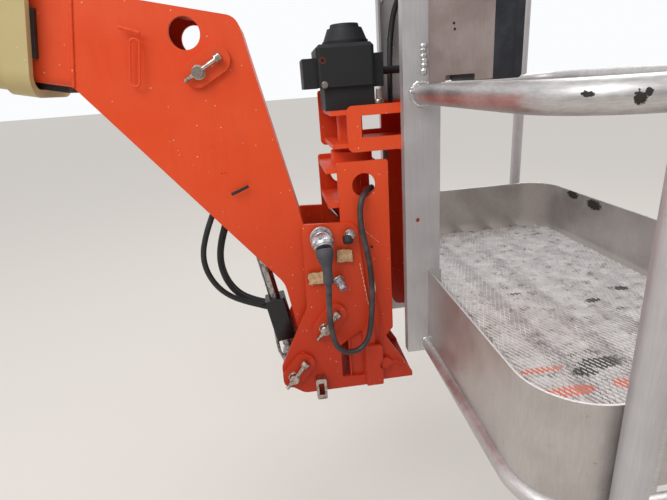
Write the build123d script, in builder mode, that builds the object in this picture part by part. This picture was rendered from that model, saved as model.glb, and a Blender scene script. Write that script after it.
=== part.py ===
from build123d import *
import math
import os

# Boom end with its work platform, millimetres. X runs along the boom towards the platform,
# Y to the far side and Z up. The origin is the centre of the fly tube's rear end.

# Boom
boom_tilt = 12.0          # slope down towards the platform, as parked, degrees
fly_length = 364.0        # rear end to the weld on the neck, along the tube
fly_height = 168.0
fly_width = 140.0
fly_wall = 6.0
fly_corner = 16.0
nose_setback = 64.0       # mouth of the boom nose behind the weld
nose_length = 240.0
nose_wall = 8.0
collar_length = 46.0      # thicker band at the nose's mouth
collar_wall = 7.0
pad_thickness = 12.0      # wear pads between nose and fly tube
pad_length = 110.0
pad_width = 84.0
pad_reach = 44.0          # how far the lower pad stands out of the nose

# Neck, measured from the levelling pivot
neck_reach = 411.5        # weld's centre behind the pivot
neck_drop = 646.0         # weld's centre above the pivot
neck_plate = 8.0
neck_front_x = -112.0     # upper front corner
neck_front_radius = 28.0
neck_tip_front = 40.0
neck_tip_back = 53.0
neck_tip_below = 50.0
neck_tip_radius = 44.0
corner_spare = 0.1          # straight edge left between two corners
neck_knee = (-79.0, 118.0)
neck_knee_radius = 60.0
neck_hole_from_weld = (200.5, -1.0)
neck_hole_radius = 29.0
belly_end = (-345.0, 465.0)   # where the lower cover plate stops
belly_cut = ((-7.0, -9.0), (20.0, 13.0))   # outer and inner end of its cut edge
front_end_z = 90.0            # where the front cover plate stops
cover_reach = 48.0            # the front cover plate lies within this of the tip's front

# Pins and their keepers
pin_radius = 13.5
pin_stand = 15.5          # pin end proud of its keeper boss
sleeve_radius = 27.0
running_gap = 0.08
face_gap = 0.3
cut_over = 20.0              # a cut's length past the metal
boss_span = 46.0          # between the centres of the oval boss's ends
boss_radius = 26.0
boss_thickness = 9.0
boss_offset = 19.0        # middle of the boss beyond the pin, along the cross bolt
neck_bolt_angle = 29.0
ear_bolt_angle = 50.0
bolt_radius = 4.5
bolt_lift = 9.6           # cross bolt's centre above the boss
bolt_tail = 31.0          # from the pin's centre
bolt_head_end = 53.0
bolt_head_radius = 9.5
bolt_head_length = 9.0
upper_pin_at = (-195.0, 575.0)
pivot_pin_at = (1.0, 7.0)
ear_pin_at = (-82.0, -113.0)

# Levelling cylinder
barrel_radius = 13.5
barrel_bore = 10.5
barrel_length = 345.0     # eye to gland face
gland_length = 26.0
gland_lip = 3.0           # gland's radius over the barrel's
barrel_base = 40.0        # solid end above the eye
rod_radius = 8.0
rod_overlap = 60.0        # rod inside the barrel at rest
eye_radius = 25.0
eye_width = 44.0
eye_play = 6.0            # free space each side of the rod's eye
block_depth = 48.0        # valve block round the barrel
block_width = 46.0
block_height = 112.0
block_corner = 4.0
block_foot = 60.0         # from the eye's centre
port_radius = 6.9
port_length = 26.0
hose_radius = 6.5

# Platform support, measured from the levelling pivot
support_half = 83.0       # centre plane to the side plates' outer face
support_plate = 8.0
support_back_x = 56.0     # near plate; the far one reaches further back
support_far_back_x = 31.0
support_front_x = 165.0
support_far_front_x = 153.0
support_top = 380.0
support_web_top = 262.0   # front web
support_far_step = (55.0, 80.0)   # where the far plate's back edge steps in
support_foot_plate = 8.0
support_notch = ((165.0, -21.0), (146.0, -43.0))
support_foot = (211.0, -165.0)
support_hole_at = (112.0, 329.0)
support_far_hole_at = (84.0, 334.0)
support_hole_radius = 25.5
rib_back_x = 33.0
rib_thickness = 12.0
rib_tops = (370.0, 295.0)
foot_pin_at = (143.0, -113.0)
foot_pin_radius = 15.0
foot_pin_stand = 9.0      # out of the side plates
ear_plate = 8.0
ear_outline = (           # x, z, corner radius
    (-29.0, 257.0, 8.0),
    (90.0, 251.0, 22.0),
    (108.0, 46.0, 30.0),
    (119.0, -20.0, 30.0),
    (119.0, -168.0, 8.0),
    (-60.0, -168.0, 30.0),
    (-108.0, -132.0, 22.0),
    (-108.0, -88.0, 22.0),
    (-35.0, 59.0, 40.0),
)
ear_window = ((89.0, -12.0), (36.0, -48.0), (35.0, -137.0), (90.0, -140.0))
ear_window_radius = 5.0
strap = (93.0, 134.0, -56.0, -167.0)   # left, right, top, bottom
strap_thickness = 8.0
washer_radius = 34.0
keeper_at = (-19.5, -149.0)
keeper_width = 25.0
keeper_height = 56.0
keeper_rim = 6.0
keeper_corner = 5.0
keeper_stand = 22.0       # out of the ear's face

# Electric fittings on the near ear
connector_at = (10.0, 228.0)
connector_flange = (25.0, 7.0)        # radius, thickness
connector_body = (20.0, 26.0)         # radius, length out of the ear
nut_out = 18.0                        # coupling nut's start out of the ear
nut_direction = (0.06, -0.80, -0.60)
coupling_nut = (24.0, 24.0)           # radius, length
boot_radii = (19.0, 14.0, 9.5)
boot_bow = (0.0, -9.0, 12.0)          # middle of the boot off the straight line
boot_direction = (0.0, -0.35, -0.94)
cap_at = (72.0, 228.0)
receptacle = (12.0, 10.0)             # radius, length
receptacle_cap = (13.0, 18.0, (3.0, 5.0))   # radius, thickness, right and down of its middle
fitting_at = (40.0, 128.0)
fitting_flange = (13.0, 4.0)          # radius, thickness
fitting_direction = (0.30, -0.75, -0.60)
fitting_rings = ((-2.0, 18.0, 10.0), (14.0, 10.0, 7.5), (22.0, 9.0, 9.0))  # start, length, radius

# Rotation axis of the platform
king_x = 101.0
king_radius = 18.0
king_foot = 268.0
king_top = 500.0
king_nut = (29.0, 14.0)   # radius, thickness
pad_disc = (46.0, 370.0)  # radius, underside
yoke_half = 90.0
yoke_plate = 8.0
yoke_top = 492.0
yoke_bottom = 400.0
yoke_near_back_x = 83.0
yoke_far_back_x = 42.0
yoke_upstand = (82.0, 524.0, 430.0)    # far plate's upstand: front edge, top, foot
yoke_window = (112.0, 428.0, 472.0)    # left, bottom, top
yoke_near_window_right = 213.0
yoke_far_window_right = 190.0
yoke_hub_radius = 28.0
yoke_hub_foot = 396.0
yoke_shelf_x = 51.0
yoke_shelf_plate = 9.0
yoke_shelf_tops = (484.0, 418.0)
leg_back_x = 205.0
leg_front_x = 262.0
leg_foot = -45.0
leg_radius = 22.0
web_x = 244.0
web_top = 484.0
web_foot = -56.0

# Rotator drive
drive_half = 62.0
drive_body = (33.0, 150.0, 530.0, 611.0)    # left, right, bottom, top
drive_corner = 8.0
drive_chamfer = 7.0
drive_neck = (46.0, 149.0)                  # left, right
drive_dome = (             # lower and upper radius, bottom, top
    (48.0, 48.0, 609.0, 618.0), (46.0, 36.0, 618.0, 642.0), (31.0, 29.0, 642.0, 650.0),
)
drive_steps_in = {"neck": 10.0, "flange": 14.0, "step": 18.0}   # narrower than the body, each side
drive_socket_play = 2.0    # round the kingpin's end
drive_flange = (5.0, 33.0, 529.0, 587.0)
drive_step = (150.0, 171.0, 525.0, 590.0)
drive_shaft = (8.0, 556.0, 205.0)           # radius, height, end

# Platform
floor_z = -25.0           # standing surface
floor_thickness = 4.0
board_height = 160.0
board_sheet = 4.0
back_x = 241.5            # mounting side of the toe board, outside
front_x = 929.0
platform_half = 605.0
corner_radius = 100.0
tube_radius = 19.0
ring_radius = 16.0
ring_z = -57.0
mid_rail_up = 530.0
top_rail_up = 1100.0
rail_outset = 10.0        # rails' centre line outside the toe board's outer face
tube_wall = 3.0
gate_post_x = (349.0, 821.0)
gate_post_radius = 21.0
post_radius = 18.0
end_lap = 18.0            # rails and board past the centre of the gate's posts
floor_gap = 0.5
floor_margin = 8.0        # solid sheet beside the joists and round the edge
floor_rows = 12
floor_bar = 12.0          # between the openings of a bay
joist_width = 25.0
joist_height = 25.0
joist_x = (360.0, 475.0, 590.0, 705.0, 810.0)
hanger_back_x = 193.0
hanger_front_x = 268.0
hanger_depth = 25.0
hanger_wall = 5.0
hanger_foot = -75.0

# Console at the mounting side
console_sheet = 4.0
console_left = 244.0
console_right = 372.0
console_foot = 524.0
console_top = 985.0
console_drop = 125.0      # front edge lower than the edge at the hangers
console_corner = 8.0
console_notch = (276.0, 336.0, 12.0)   # left, right, height of the cut in the cheeks' foot
console_set_in = 26.0     # sloping box behind the cheeks' left edge
console_inset = 6.0
console_box_height = 185.0
console_box_proud = 2.0   # above the cheeks' sloping edge
console_box_corner = 6.0
case_right = 431.0
case_height = 230.0
case_drop = 2.0

# Gate
gate_gap = 8.0
gate_tube = 14.0
gate_board_height = 118.0
gate_board_lift = 8.0
stile_rise = 5.0          # stiles above the top bar
gate_hinge_z = (200.0, 850.0)
gate_hinge_height = 30.0
gate_hinge_wall = 6.0
gate_arm_width = 12.0

# Cord routes, from the pivot in X and Z and from the centre plane in Y
jumper_radius = 6.5
jumper_route = (
    (14, -141, 118), (11, -140, 70), (13, -138, 22), (21, -135, -24), (45, -129, -47),
    (77, -124, -47), (99, -120, -24), (107, -116, 16), (112, -113, 60), (114, -110, 108),
    (112, -108, 156), (105, -107, 200), (98, -106, 238), (96, -106, 268), (98, -105, 292),
    (105, -98, 309), (118, -78, 315), (135, -46, 315),
)
hose_routes = (
    ((-143, -14, 43), (-185, -14, 59), (-228, -21, 92), (-253, -27, 140), (-258, -30, 190),
     (-243, -28, 238), (-222, -24, 282), (-203, -20, 318)),
    ((-143, 0, 43), (-176, 0, 56), (-205, 0, 84), (-222, 0, 122), (-227, 0, 164),
     (-219, 0, 206), (-204, 0, 246), (-188, 0, 285)),
    ((-143, 14, 43), (-178, 14, 57), (-208, 18, 86), (-224, 19, 126), (-226, 18, 168),
     (-215, 17, 210), (-198, 16, 250), (-182, 15, 289)),
)
post_cable_route = (
    (208, 60, 484), (208, 60, 524), (213, 76, 576), (220, 92, 628), (229, 92, 680),
    (246, 76, 724), (270, 63, 756), (282, 59, 790),
)
cable_gland_radius = 11.0
cable_gland_length = 26.0   # from the cord's end into the box

# Places worked out from the sizes above
tilt = math.radians(boom_tilt)
along = Vector(math.cos(tilt), 0, -math.sin(tilt))
upright = Vector(math.sin(tilt), 0, math.cos(tilt))
weld = along * fly_length
pivot = Vector(weld.X + neck_reach, 0, weld.Z - neck_drop)
rail_z = {"mid": floor_z + mid_rail_up, "top": floor_z + top_rail_up}
board_top = floor_z + board_height - 5


def across_boom(distance):
    """Plane square to the boom axis, its local y pointing up."""
    return Plane(origin=along * distance, x_dir=(0, 1, 0), z_dir=along)


def side(distance):
    """Upright plane through the pivot, at a distance from the centre plane to the near side."""
    return Plane(origin=(pivot.X, -distance, pivot.Z), x_dir=(1, 0, 0), z_dir=(0, -1, 0))


def level(height, x=0.0, y=0.0):
    """Level plane at a height above the pivot."""
    return Plane(origin=(pivot.X + x, y, pivot.Z + height), x_dir=(1, 0, 0), z_dir=(0, 0, 1))


def rounded_face(rows, mode=Mode.ADD):
    """Face with rows of x, y and corner radius."""
    with BuildLine() as outline:
        FilletPolyline(*[row[:2] for row in rows], radius=[row[2] for row in rows], close=True)
    make_face(outline.edges(), mode=mode)


def box_at(x, y, z, mode=Mode.ADD):
    """Box between two values of x, y and z, from the pivot."""
    with Locations((pivot.X + sum(x) / 2, sum(y) / 2, pivot.Z + sum(z) / 2)):
        Box(x[1] - x[0], y[1] - y[0], z[1] - z[0], mode=mode)


def disc(at, radius, near, depth, mode=Mode.ADD):
    """Cylinder across the machine, from a near face to the far side by its depth."""
    with BuildSketch(side(near)) as section:
        with Locations(at):
            Circle(radius)
    extrude(section.sketch, amount=-depth, mode=mode)


def keeper(at, near, angle, facing=1, trim=None):
    """Oval keeper boss that stands out of a plate's face, cut off at the plate's edge."""
    with BuildSketch(side(near)) as section:
        with Locations(Location((at[0], at[1], 0), (0, 0, angle))):
            with Locations((boss_offset, 0)):
                SlotCenterToCenter(boss_span, boss_radius * 2)
        if trim:
            rounded_face(trim, Mode.INTERSECT)
    extrude(section.sketch, amount=boss_thickness * facing)


def bolt_shank(at, near, angle, mode=Mode.ADD):
    """Shank of a cross bolt over the boss, and the plane that its head starts on."""
    turn = math.radians(angle)
    along_bolt = Vector(math.cos(turn), 0, math.sin(turn))
    centre = Vector(pivot.X + at[0], -near - bolt_lift, pivot.Z + at[1])
    with BuildSketch(Plane(origin=centre - along_bolt * bolt_tail, z_dir=along_bolt)) as shank:
        Circle(bolt_radius)
    extrude(shank.sketch, amount=bolt_tail + bolt_head_end, mode=mode)
    return Plane(origin=centre + along_bolt * (bolt_head_end - bolt_head_length), z_dir=along_bolt)


def cross_bolt(at, near, angle, name):
    """Bolt that goes through a pin's end and keeps it from turning."""
    with BuildPart() as bolt:
        head_plane = bolt_shank(at, near, angle)
        with BuildSketch(head_plane):
            RegularPolygon(bolt_head_radius, 6)
        extrude(amount=bolt_head_length)
    finish(bolt.part, name)


def finish(part, name):
    part.label = name
    export_step(part, f"parts/{name}.step")


os.makedirs("parts", exist_ok=True)

# Fly tube: rounded box section
with BuildPart() as fly_tube:
    with BuildSketch(across_boom(0)):
        RectangleRounded(fly_width, fly_height, fly_corner)
        RectangleRounded(
            fly_width - 2 * fly_wall, fly_height - 2 * fly_wall, fly_corner - fly_wall,
            mode=Mode.SUBTRACT,
        )
    extrude(amount=fly_length)

# Boom nose: the larger section that the fly tube slides in, with a band at its mouth
nose_start = fly_length - nose_setback - nose_length
nose_inner = (fly_width + 2 * pad_thickness, fly_height + 2 * pad_thickness)
nose_radius = fly_corner + pad_thickness


def nose_band(start, length, wall):
    """Rounded box section round the wear pads' outer faces."""
    with BuildSketch(across_boom(start)) as section:
        RectangleRounded(nose_inner[0] + 2 * wall, nose_inner[1] + 2 * wall, nose_radius + wall)
        RectangleRounded(*nose_inner, nose_radius, mode=Mode.SUBTRACT)
    extrude(section.sketch, amount=length)


with BuildPart() as boom_nose:
    nose_band(nose_start, nose_length, nose_wall)
    nose_band(nose_start + nose_length - collar_length, collar_length, nose_wall + collar_wall)

# Wear pads: one on each side of the fly tube, the lower one standing out of the nose
pad_rows = (               # across, up, width, height, reach out of the nose
    (0, fly_height / 2 + pad_thickness / 2, pad_width, pad_thickness, 0),
    (0, -fly_height / 2 - pad_thickness / 2, pad_width, pad_thickness, pad_reach),
    (fly_width / 2 + pad_thickness / 2, 0, pad_thickness, pad_width, 6),
    (-fly_width / 2 - pad_thickness / 2, 0, pad_thickness, pad_width, 6),
)
with BuildPart() as wear_pads:
    for across, up, width, height, reach in pad_rows:
        with BuildSketch(across_boom(nose_start + nose_length - pad_length + reach)):
            with Locations((across, up)):
                Rectangle(width, height)
        extrude(amount=pad_length)

# Neck: two side plates with cover plates between them, open along the belly
weld_top = weld + upright * (fly_height / 2) - pivot
weld_foot = weld - upright * (fly_height / 2) - pivot
neck_front_z = weld_top.Z - (neck_front_x - weld_top.X) * math.tan(tilt)
neck_hole_at = (neck_hole_from_weld[0] - neck_reach, neck_hole_from_weld[1] + neck_drop)
# The tip's two corners share its width, so their radius is limited by it
front_lean = math.atan2(neck_front_z + neck_tip_below, neck_tip_front - neck_front_x)
back_lean = math.atan2(neck_knee[1] + neck_tip_below, neck_knee[0] + neck_tip_back)
tip_shares = 1 / math.tan(front_lean / 2) + 1 / math.tan(back_lean / 2)
tip_room = (neck_tip_front + neck_tip_back) / tip_shares
tip_radius = min(neck_tip_radius, tip_room - corner_spare)
neck_rows = (
    (weld_top.X, weld_top.Z, 0),
    (neck_front_x, neck_front_z, neck_front_radius),
    (neck_tip_front, -neck_tip_below, tip_radius),
    (-neck_tip_back, -neck_tip_below, tip_radius),
    (*neck_knee, neck_knee_radius),
    (weld_foot.X, weld_foot.Z, 0),
)
neck_half = fly_width / 2
neck_inside = neck_half - neck_plate
with BuildPart() as goose_neck:
    for near in (neck_inside, -neck_half):
        with BuildSketch(side(near)):
            rounded_face(neck_rows)
            with Locations(neck_hole_at):
                Circle(neck_hole_radius, mode=Mode.SUBTRACT)
        extrude(amount=neck_plate)
    with BuildSketch(side(-neck_inside)):
        rounded_face(neck_rows)
        offset(amount=-neck_plate, mode=Mode.SUBTRACT)
        with BuildLine():
            Polyline(
                *[(belly_end[0] + x, belly_end[1] + z) for x, z in belly_cut],
                (neck_tip_front - cover_reach, front_end_z),
                (neck_tip_front + cover_reach, front_end_z),
                (neck_tip_front + cover_reach, -2 * neck_tip_below),
                (2 * neck_knee[0], -2 * neck_tip_below), close=True,
            )
        make_face(mode=Mode.SUBTRACT)
        with Locations(Location((-neck_reach, neck_drop, 0), (0, 0, -boom_tilt))):
            Rectangle(4 * neck_plate, fly_height - 2 * neck_plate, mode=Mode.SUBTRACT)
    extrude(amount=2 * neck_inside)
    disc(pivot_pin_at, sleeve_radius, neck_half, 2 * neck_half)
    for near in (support_half - face_gap, -neck_half):
        disc(pivot_pin_at, washer_radius, near, support_half - face_gap - neck_half)
    disc(
        pivot_pin_at, pin_radius + running_gap, support_half, 2 * support_half,
        mode=Mode.SUBTRACT,
    )
    keeper(upper_pin_at, neck_half, neck_bolt_angle)
    keeper(upper_pin_at, -neck_half, neck_bolt_angle, facing=-1)
    stub_inner = eye_width / 2 + eye_play
    for near in (neck_inside, -stub_inner):
        disc(upper_pin_at, sleeve_radius, near, neck_inside - stub_inner)
    disc(upper_pin_at, pin_radius, support_half, 2 * support_half, mode=Mode.SUBTRACT)

# Upper cylinder pin: a stub on each side, clear of the rod's eye
neck_boss_face = neck_half + boss_thickness
pin_face = neck_boss_face + pin_stand
with BuildPart() as upper_cylinder_pin:
    disc(upper_pin_at, pin_radius, pin_face, pin_face - stub_inner)
    disc(upper_pin_at, pin_radius, -stub_inner, pin_face - stub_inner)
    bolt_shank(upper_pin_at, neck_boss_face, neck_bolt_angle, Mode.SUBTRACT)
cross_bolt(upper_pin_at, neck_boss_face, neck_bolt_angle, "upper_pin_bolt")

# Platform support: two side plates, a back web, two bearing ribs and a foot plate
foot_x, foot_z = support_foot
support_inside = support_half - support_plate
support_foot_rows = (      # x, z, corner radius
    (*support_notch[0], 8), (*support_notch[1], 6),
    (foot_x, foot_z + 12, 4), (foot_x, foot_z, 0), (support_back_x, foot_z, 0),
)
near_top_rows = ((support_back_x, support_top, 6), (support_front_x, support_top, 6))
far_top_rows = (
    (support_back_x, support_far_step[0], 0), (support_far_back_x, support_far_step[1], 0),
    (support_far_back_x, support_top, 6), (support_far_front_x, support_top, 6),
    (support_far_front_x, support_web_top, 0), (support_front_x, support_web_top, 0),
)
with BuildPart() as support_tower:
    for near, top_rows, hole_at in (
        (support_inside, near_top_rows, support_hole_at),
        (-support_half, far_top_rows, support_far_hole_at),
    ):
        with BuildSketch(side(near)):
            rounded_face(top_rows + support_foot_rows)
            with Locations(hole_at):
                Circle(support_hole_radius, mode=Mode.SUBTRACT)
        extrude(amount=support_plate)
    box_at(
        (support_front_x - support_plate, support_front_x), (-support_inside, support_inside),
        (support_notch[0][1], support_web_top),
    )
    for rib_top in rib_tops:
        box_at(
            (rib_back_x, support_far_front_x), (-support_inside, support_inside),
            (rib_top - rib_thickness, rib_top),
        )
    box_at(
        (support_back_x, foot_x), (-support_inside, support_inside),
        (foot_z, foot_z + support_foot_plate),
    )
    with BuildSketch(level(rib_tops[0] + 1, king_x)):
        Circle(king_radius)
    extrude(amount=-(rib_tops[0] - rib_tops[1] + rib_thickness + 2), mode=Mode.SUBTRACT)
    foot_pin_end = support_half + foot_pin_stand
    disc(foot_pin_at, foot_pin_radius, foot_pin_end, 2 * foot_pin_end)

# Ear plates, one each side of the neck's tip, lying on the side plates
ear_face = support_half + ear_plate
ear_boss_face = ear_face + boss_thickness
for name, facing in (("near_ear_plate", 1), ("far_ear_plate", -1)):
    with BuildPart() as ear:
        with BuildSketch(side(support_half * facing)):
            rounded_face(ear_outline)
            rounded_face([(*corner, ear_window_radius) for corner in ear_window], Mode.SUBTRACT)
        extrude(amount=ear_plate * facing)
        left, right, top, bottom = strap
        with BuildSketch(side(ear_face * facing)):
            rounded_face(((left, top, 8), (right, top, 8), (right, bottom, 3), (left, bottom, 3)))
        extrude(amount=strap_thickness * facing)
        for at in (pivot_pin_at, ear_pin_at):
            keeper(at, ear_face * facing, ear_bolt_angle, facing, ear_outline)
            disc(at, pin_radius, ear_boss_face, 2 * ear_boss_face, mode=Mode.SUBTRACT)
        disc(
            foot_pin_at, foot_pin_radius + 1, ear_boss_face, 2 * ear_boss_face,
            mode=Mode.SUBTRACT,
        )
    finish(ear.part, name)

# Pins through the ears, each with its cross bolt
ear_pin_face = ear_boss_face + pin_stand
for name, at in (("pivot_pin", pivot_pin_at), ("lower_cylinder_pin", ear_pin_at)):
    with BuildPart() as pin:
        disc(at, pin_radius, ear_pin_face, 2 * ear_pin_face)
        bolt_shank(at, ear_boss_face, ear_bolt_angle, Mode.SUBTRACT)
    finish(pin.part, name)
    cross_bolt(at, ear_boss_face, ear_bolt_angle, name.replace("_pin", "_pin_bolt"))

# Kingpin of the platform, fast in the ribs
with BuildPart() as king_pin:
    with BuildSketch(level(king_foot, king_x)):
        Circle(king_radius)
    extrude(amount=king_top - king_foot)
    nut_radius, nut_height = king_nut
    with BuildSketch(level(rib_tops[1] - rib_thickness, king_x)):
        RegularPolygon(nut_radius, 6)
    extrude(amount=-nut_height)

with BuildPart() as thrust_pad:
    pad_radius, pad_foot = pad_disc
    with BuildSketch(level(pad_foot, king_x)):
        Circle(pad_radius)
        Circle(king_radius, mode=Mode.SUBTRACT)
    extrude(amount=yoke_hub_foot - face_gap - pad_foot)

# Electric fittings on the near ear
with BuildPart() as cable_connector:
    radius, thickness = connector_flange
    disc(connector_at, radius, ear_face + thickness, thickness)
    radius, length = connector_body
    disc(connector_at, radius, ear_face + length, length)
    nut_plane = Plane(
        origin=(pivot.X + connector_at[0], -ear_face - nut_out, pivot.Z + connector_at[1]),
        z_dir=nut_direction,
    )
    nut_radius, nut_length = coupling_nut
    with BuildSketch(nut_plane):
        Circle(nut_radius)
    extrude(amount=nut_length)
jumper_start = Vector(*jumper_route[0])
with BuildPart() as connector_boot:
    boot_plane = nut_plane.offset(nut_length)
    end_plane = Plane(
        origin=pivot + jumper_start,
        z_dir=Vector(*jumper_route[1]) - jumper_start,
    )
    middle = Plane(
        origin=(boot_plane.origin + end_plane.origin) * 0.5 + Vector(*boot_bow),
        z_dir=boot_direction,
    )
    for plane, radius in zip((boot_plane, middle, end_plane), boot_radii):
        with BuildSketch(plane):
            Circle(radius)
    loft()
with BuildPart() as capped_connector:
    radius, length = receptacle
    disc(cap_at, radius, ear_face + length, length)
    radius, thickness, (right, down) = receptacle_cap
    disc((cap_at[0] + right, cap_at[1] - down), radius, ear_face + length + thickness, thickness)
with BuildPart() as hose_fitting:
    fitting_plane = Plane(
        origin=(pivot.X + fitting_at[0], -ear_face, pivot.Z + fitting_at[1]),
        z_dir=fitting_direction,
    )
    radius, thickness = fitting_flange
    disc(fitting_at, radius, ear_face + thickness, thickness)
    for start, length, radius in fitting_rings:
        with BuildSketch(fitting_plane.offset(start)):
            Circle(radius)
        extrude(amount=length)
    split(bisect_by=side(ear_face), keep=Keep.TOP)
with BuildPart() as latch_keeper:
    with BuildSketch(side(ear_face)):
        with Locations(keeper_at):
            RectangleRounded(keeper_width, keeper_height, keeper_corner)
            RectangleRounded(
                keeper_width - 2 * keeper_rim, keeper_height - 4 * keeper_rim, keeper_corner / 2,
                mode=Mode.SUBTRACT,
            )
    extrude(amount=keeper_stand)

# Levelling cylinder: barrel on the ears' pin, rod up to the neck's pin
reach = Vector(upper_pin_at[0] - ear_pin_at[0], 0, upper_pin_at[1] - ear_pin_at[1])
stroke_line = reach.normalized()
ear_pin_centre = pivot + Vector(ear_pin_at[0], 0, ear_pin_at[1])


def across_cylinder(distance):
    """Plane square to the cylinder, at a distance from the barrel's eye."""
    return Plane(origin=ear_pin_centre + stroke_line * distance, x_dir=(0, 1, 0), z_dir=stroke_line)


with BuildPart() as cylinder_barrel:
    disc(ear_pin_at, eye_radius, eye_width / 2, eye_width)
    with BuildSketch(across_cylinder(0)):
        Circle(barrel_radius)
    extrude(amount=barrel_length)
    with BuildSketch(across_cylinder(barrel_length - gland_length)):
        Circle(barrel_radius + gland_lip)
    extrude(amount=gland_length)
    with BuildSketch(across_cylinder(barrel_base)):
        Circle(barrel_bore)
    extrude(amount=barrel_length - gland_length - barrel_base, mode=Mode.SUBTRACT)
    with BuildSketch(across_cylinder(barrel_base)):
        Circle(rod_radius + running_gap)
    extrude(amount=barrel_length, mode=Mode.SUBTRACT)
    disc(ear_pin_at, pin_radius + running_gap, eye_width, 2 * eye_width, mode=Mode.SUBTRACT)


def stub(route, radius, length, at_end=False):
    """Round stub that carries on a cord's line backwards from its start, or past its end."""
    first, second = (route[-1], route[-2]) if at_end else (route[0], route[1])
    inward = Vector(*first) - Vector(*second)
    with BuildSketch(Plane(origin=pivot + Vector(*first), z_dir=inward)) as section:
        Circle(radius)
    extrude(section.sketch, amount=length)


with BuildPart() as hose_block:
    with BuildSketch(across_cylinder(block_foot)):
        RectangleRounded(block_width, block_depth, block_corner)
    extrude(amount=block_height)
    for route in hose_routes:
        stub(route, port_radius, port_length)
    with BuildSketch(across_cylinder(0)):
        Circle(barrel_radius)
    extrude(amount=barrel_length, mode=Mode.SUBTRACT)

with BuildPart() as cylinder_rod:
    disc(upper_pin_at, eye_radius, eye_width / 2, eye_width)
    with BuildSketch(across_cylinder(barrel_length - rod_overlap)):
        Circle(rod_radius)
    extrude(amount=reach.length - barrel_length + rod_overlap)
    disc(upper_pin_at, pin_radius + running_gap, eye_width, 2 * eye_width, mode=Mode.SUBTRACT)


def cord(route, radius, name):
    """Round cord along a route of straight runs joined by tangent arcs."""
    points = [pivot + Vector(*point) for point in route]
    bends = []
    for before, here, after in zip(points, points[1:], points[2:]):
        turn = math.radians((here - before).get_angle(after - here))
        shorter = min((here - before).length, (after - here).length)
        bends.append(0.45 * shorter / math.tan(turn / 2))
    with BuildPart() as tube:
        with BuildLine() as path:
            FilletPolyline(*points, radius=bends)
        with BuildSketch(Plane(origin=points[0], z_dir=points[1] - points[0])):
            Circle(radius)
        sweep()
    length = path.wire().length
    ratio = tube.part.volume / (math.pi * radius**2 * length)
    print(f"{name}: length {length:.0f}, tightest {min(bends):.0f}, volume ratio {ratio:.4f}")
    finish(tube.part, name)


cord(jumper_route, jumper_radius, "jumper_cable")
for number, route in enumerate(hose_routes, 1):
    cord(route, hose_radius, f"cylinder_hose_{number}")
cord(post_cable_route, jumper_radius, "post_cable")

# Yoke: near and far plates with a window and a long leg, shelves, hub and back web
yoke_inside = yoke_half - yoke_plate
with BuildPart() as yoke:
    for near, back_edge, window_right in (
        (yoke_inside, yoke_near_back_x, yoke_near_window_right),
        (-yoke_half, yoke_far_back_x, yoke_far_window_right),
    ):
        with BuildSketch(side(near)):
            rounded_face((
                (back_edge, yoke_top, 12), (leg_front_x, yoke_top, 4),
                (leg_front_x, leg_foot, 8), (leg_back_x, leg_foot, leg_radius),
                (leg_back_x, yoke_bottom, leg_radius), (back_edge, yoke_bottom, 12),
            ))
            if near < 0:
                front, top, foot = yoke_upstand
                rounded_face(((back_edge, top, 6), (front, top, 6), (front, foot, 0),
                              (back_edge, foot, 0)))
            left, bottom, top = yoke_window
            rounded_face((
                (left, top, 3), (window_right, top, 3), (window_right, bottom, 3),
                (left, bottom, 3),
            ), Mode.SUBTRACT)
        extrude(amount=yoke_plate)
    for shelf_top in yoke_shelf_tops:
        box_at(
            (yoke_shelf_x, web_x), (-yoke_inside, yoke_inside),
            (shelf_top - yoke_shelf_plate, shelf_top),
        )
    with BuildSketch(level(yoke_hub_foot, king_x)):
        Circle(yoke_hub_radius)
    extrude(amount=yoke_shelf_tops[0] - yoke_hub_foot)
    box_at((web_x, web_x + yoke_plate), (-yoke_inside, yoke_inside), (web_foot, web_top))
    with BuildSketch(level(yoke_bottom - cut_over, king_x)):
        Circle(king_radius + running_gap)
    extrude(amount=yoke_top - yoke_bottom + 2 * cut_over, mode=Mode.SUBTRACT)

# Rotator drive: cast housing over the kingpin's end
with BuildPart() as rotator_drive:
    left, right, bottom, top = drive_body
    box_at((left, right), (-drive_half, drive_half), (bottom, top))
    fillet(rotator_drive.edges().filter_by(Axis.Z), drive_corner)
    chamfer(rotator_drive.faces().sort_by(Axis.Z)[-1].edges(), drive_chamfer)
    for lower, upper, low, high in drive_dome:
        with BuildSketch(level(low, king_x)):
            Circle(lower)
        with BuildSketch(level(high, king_x)):
            Circle(upper)
        loft()
    left, right = drive_neck
    half = drive_half - drive_steps_in["neck"]
    box_at((left, right), (-half, half), (yoke_shelf_tops[0], bottom))
    left, right, bottom, top = drive_flange
    half = drive_half - drive_steps_in["flange"]
    box_at((left, right), (-half, half), (bottom, top))
    left, right, bottom, top = drive_step
    half = drive_half - drive_steps_in["step"]
    box_at((left, right), (-half, half), (bottom, top))
    radius, height, end = drive_shaft
    with BuildSketch(Plane(origin=(pivot.X + right, 0, pivot.Z + height), z_dir=(1, 0, 0))):
        Circle(radius)
    extrude(amount=end - right)
    with BuildSketch(level(yoke_bottom, king_x)):
        Circle(king_radius + drive_socket_play)
    extrude(amount=king_top + 2 * drive_socket_play - yoke_bottom, mode=Mode.SUBTRACT)

# Hanger posts: channels on the yoke's legs that carry the platform
hanger_top = rail_z["top"] + tube_radius
with BuildPart() as hanger_posts:
    for facing in (-1, 1):
        y = sorted((facing * yoke_half, facing * (yoke_half + hanger_depth)))
        cut = sorted((facing * yoke_half, facing * (yoke_half + hanger_depth - hanger_wall)))
        box_at((hanger_back_x, hanger_front_x), y, (hanger_foot, hanger_top))
        box_at(
            (hanger_back_x + hanger_wall, hanger_front_x - hanger_wall), cut,
            (hanger_foot - 1, hanger_top + 1), mode=Mode.SUBTRACT,
        )

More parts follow.
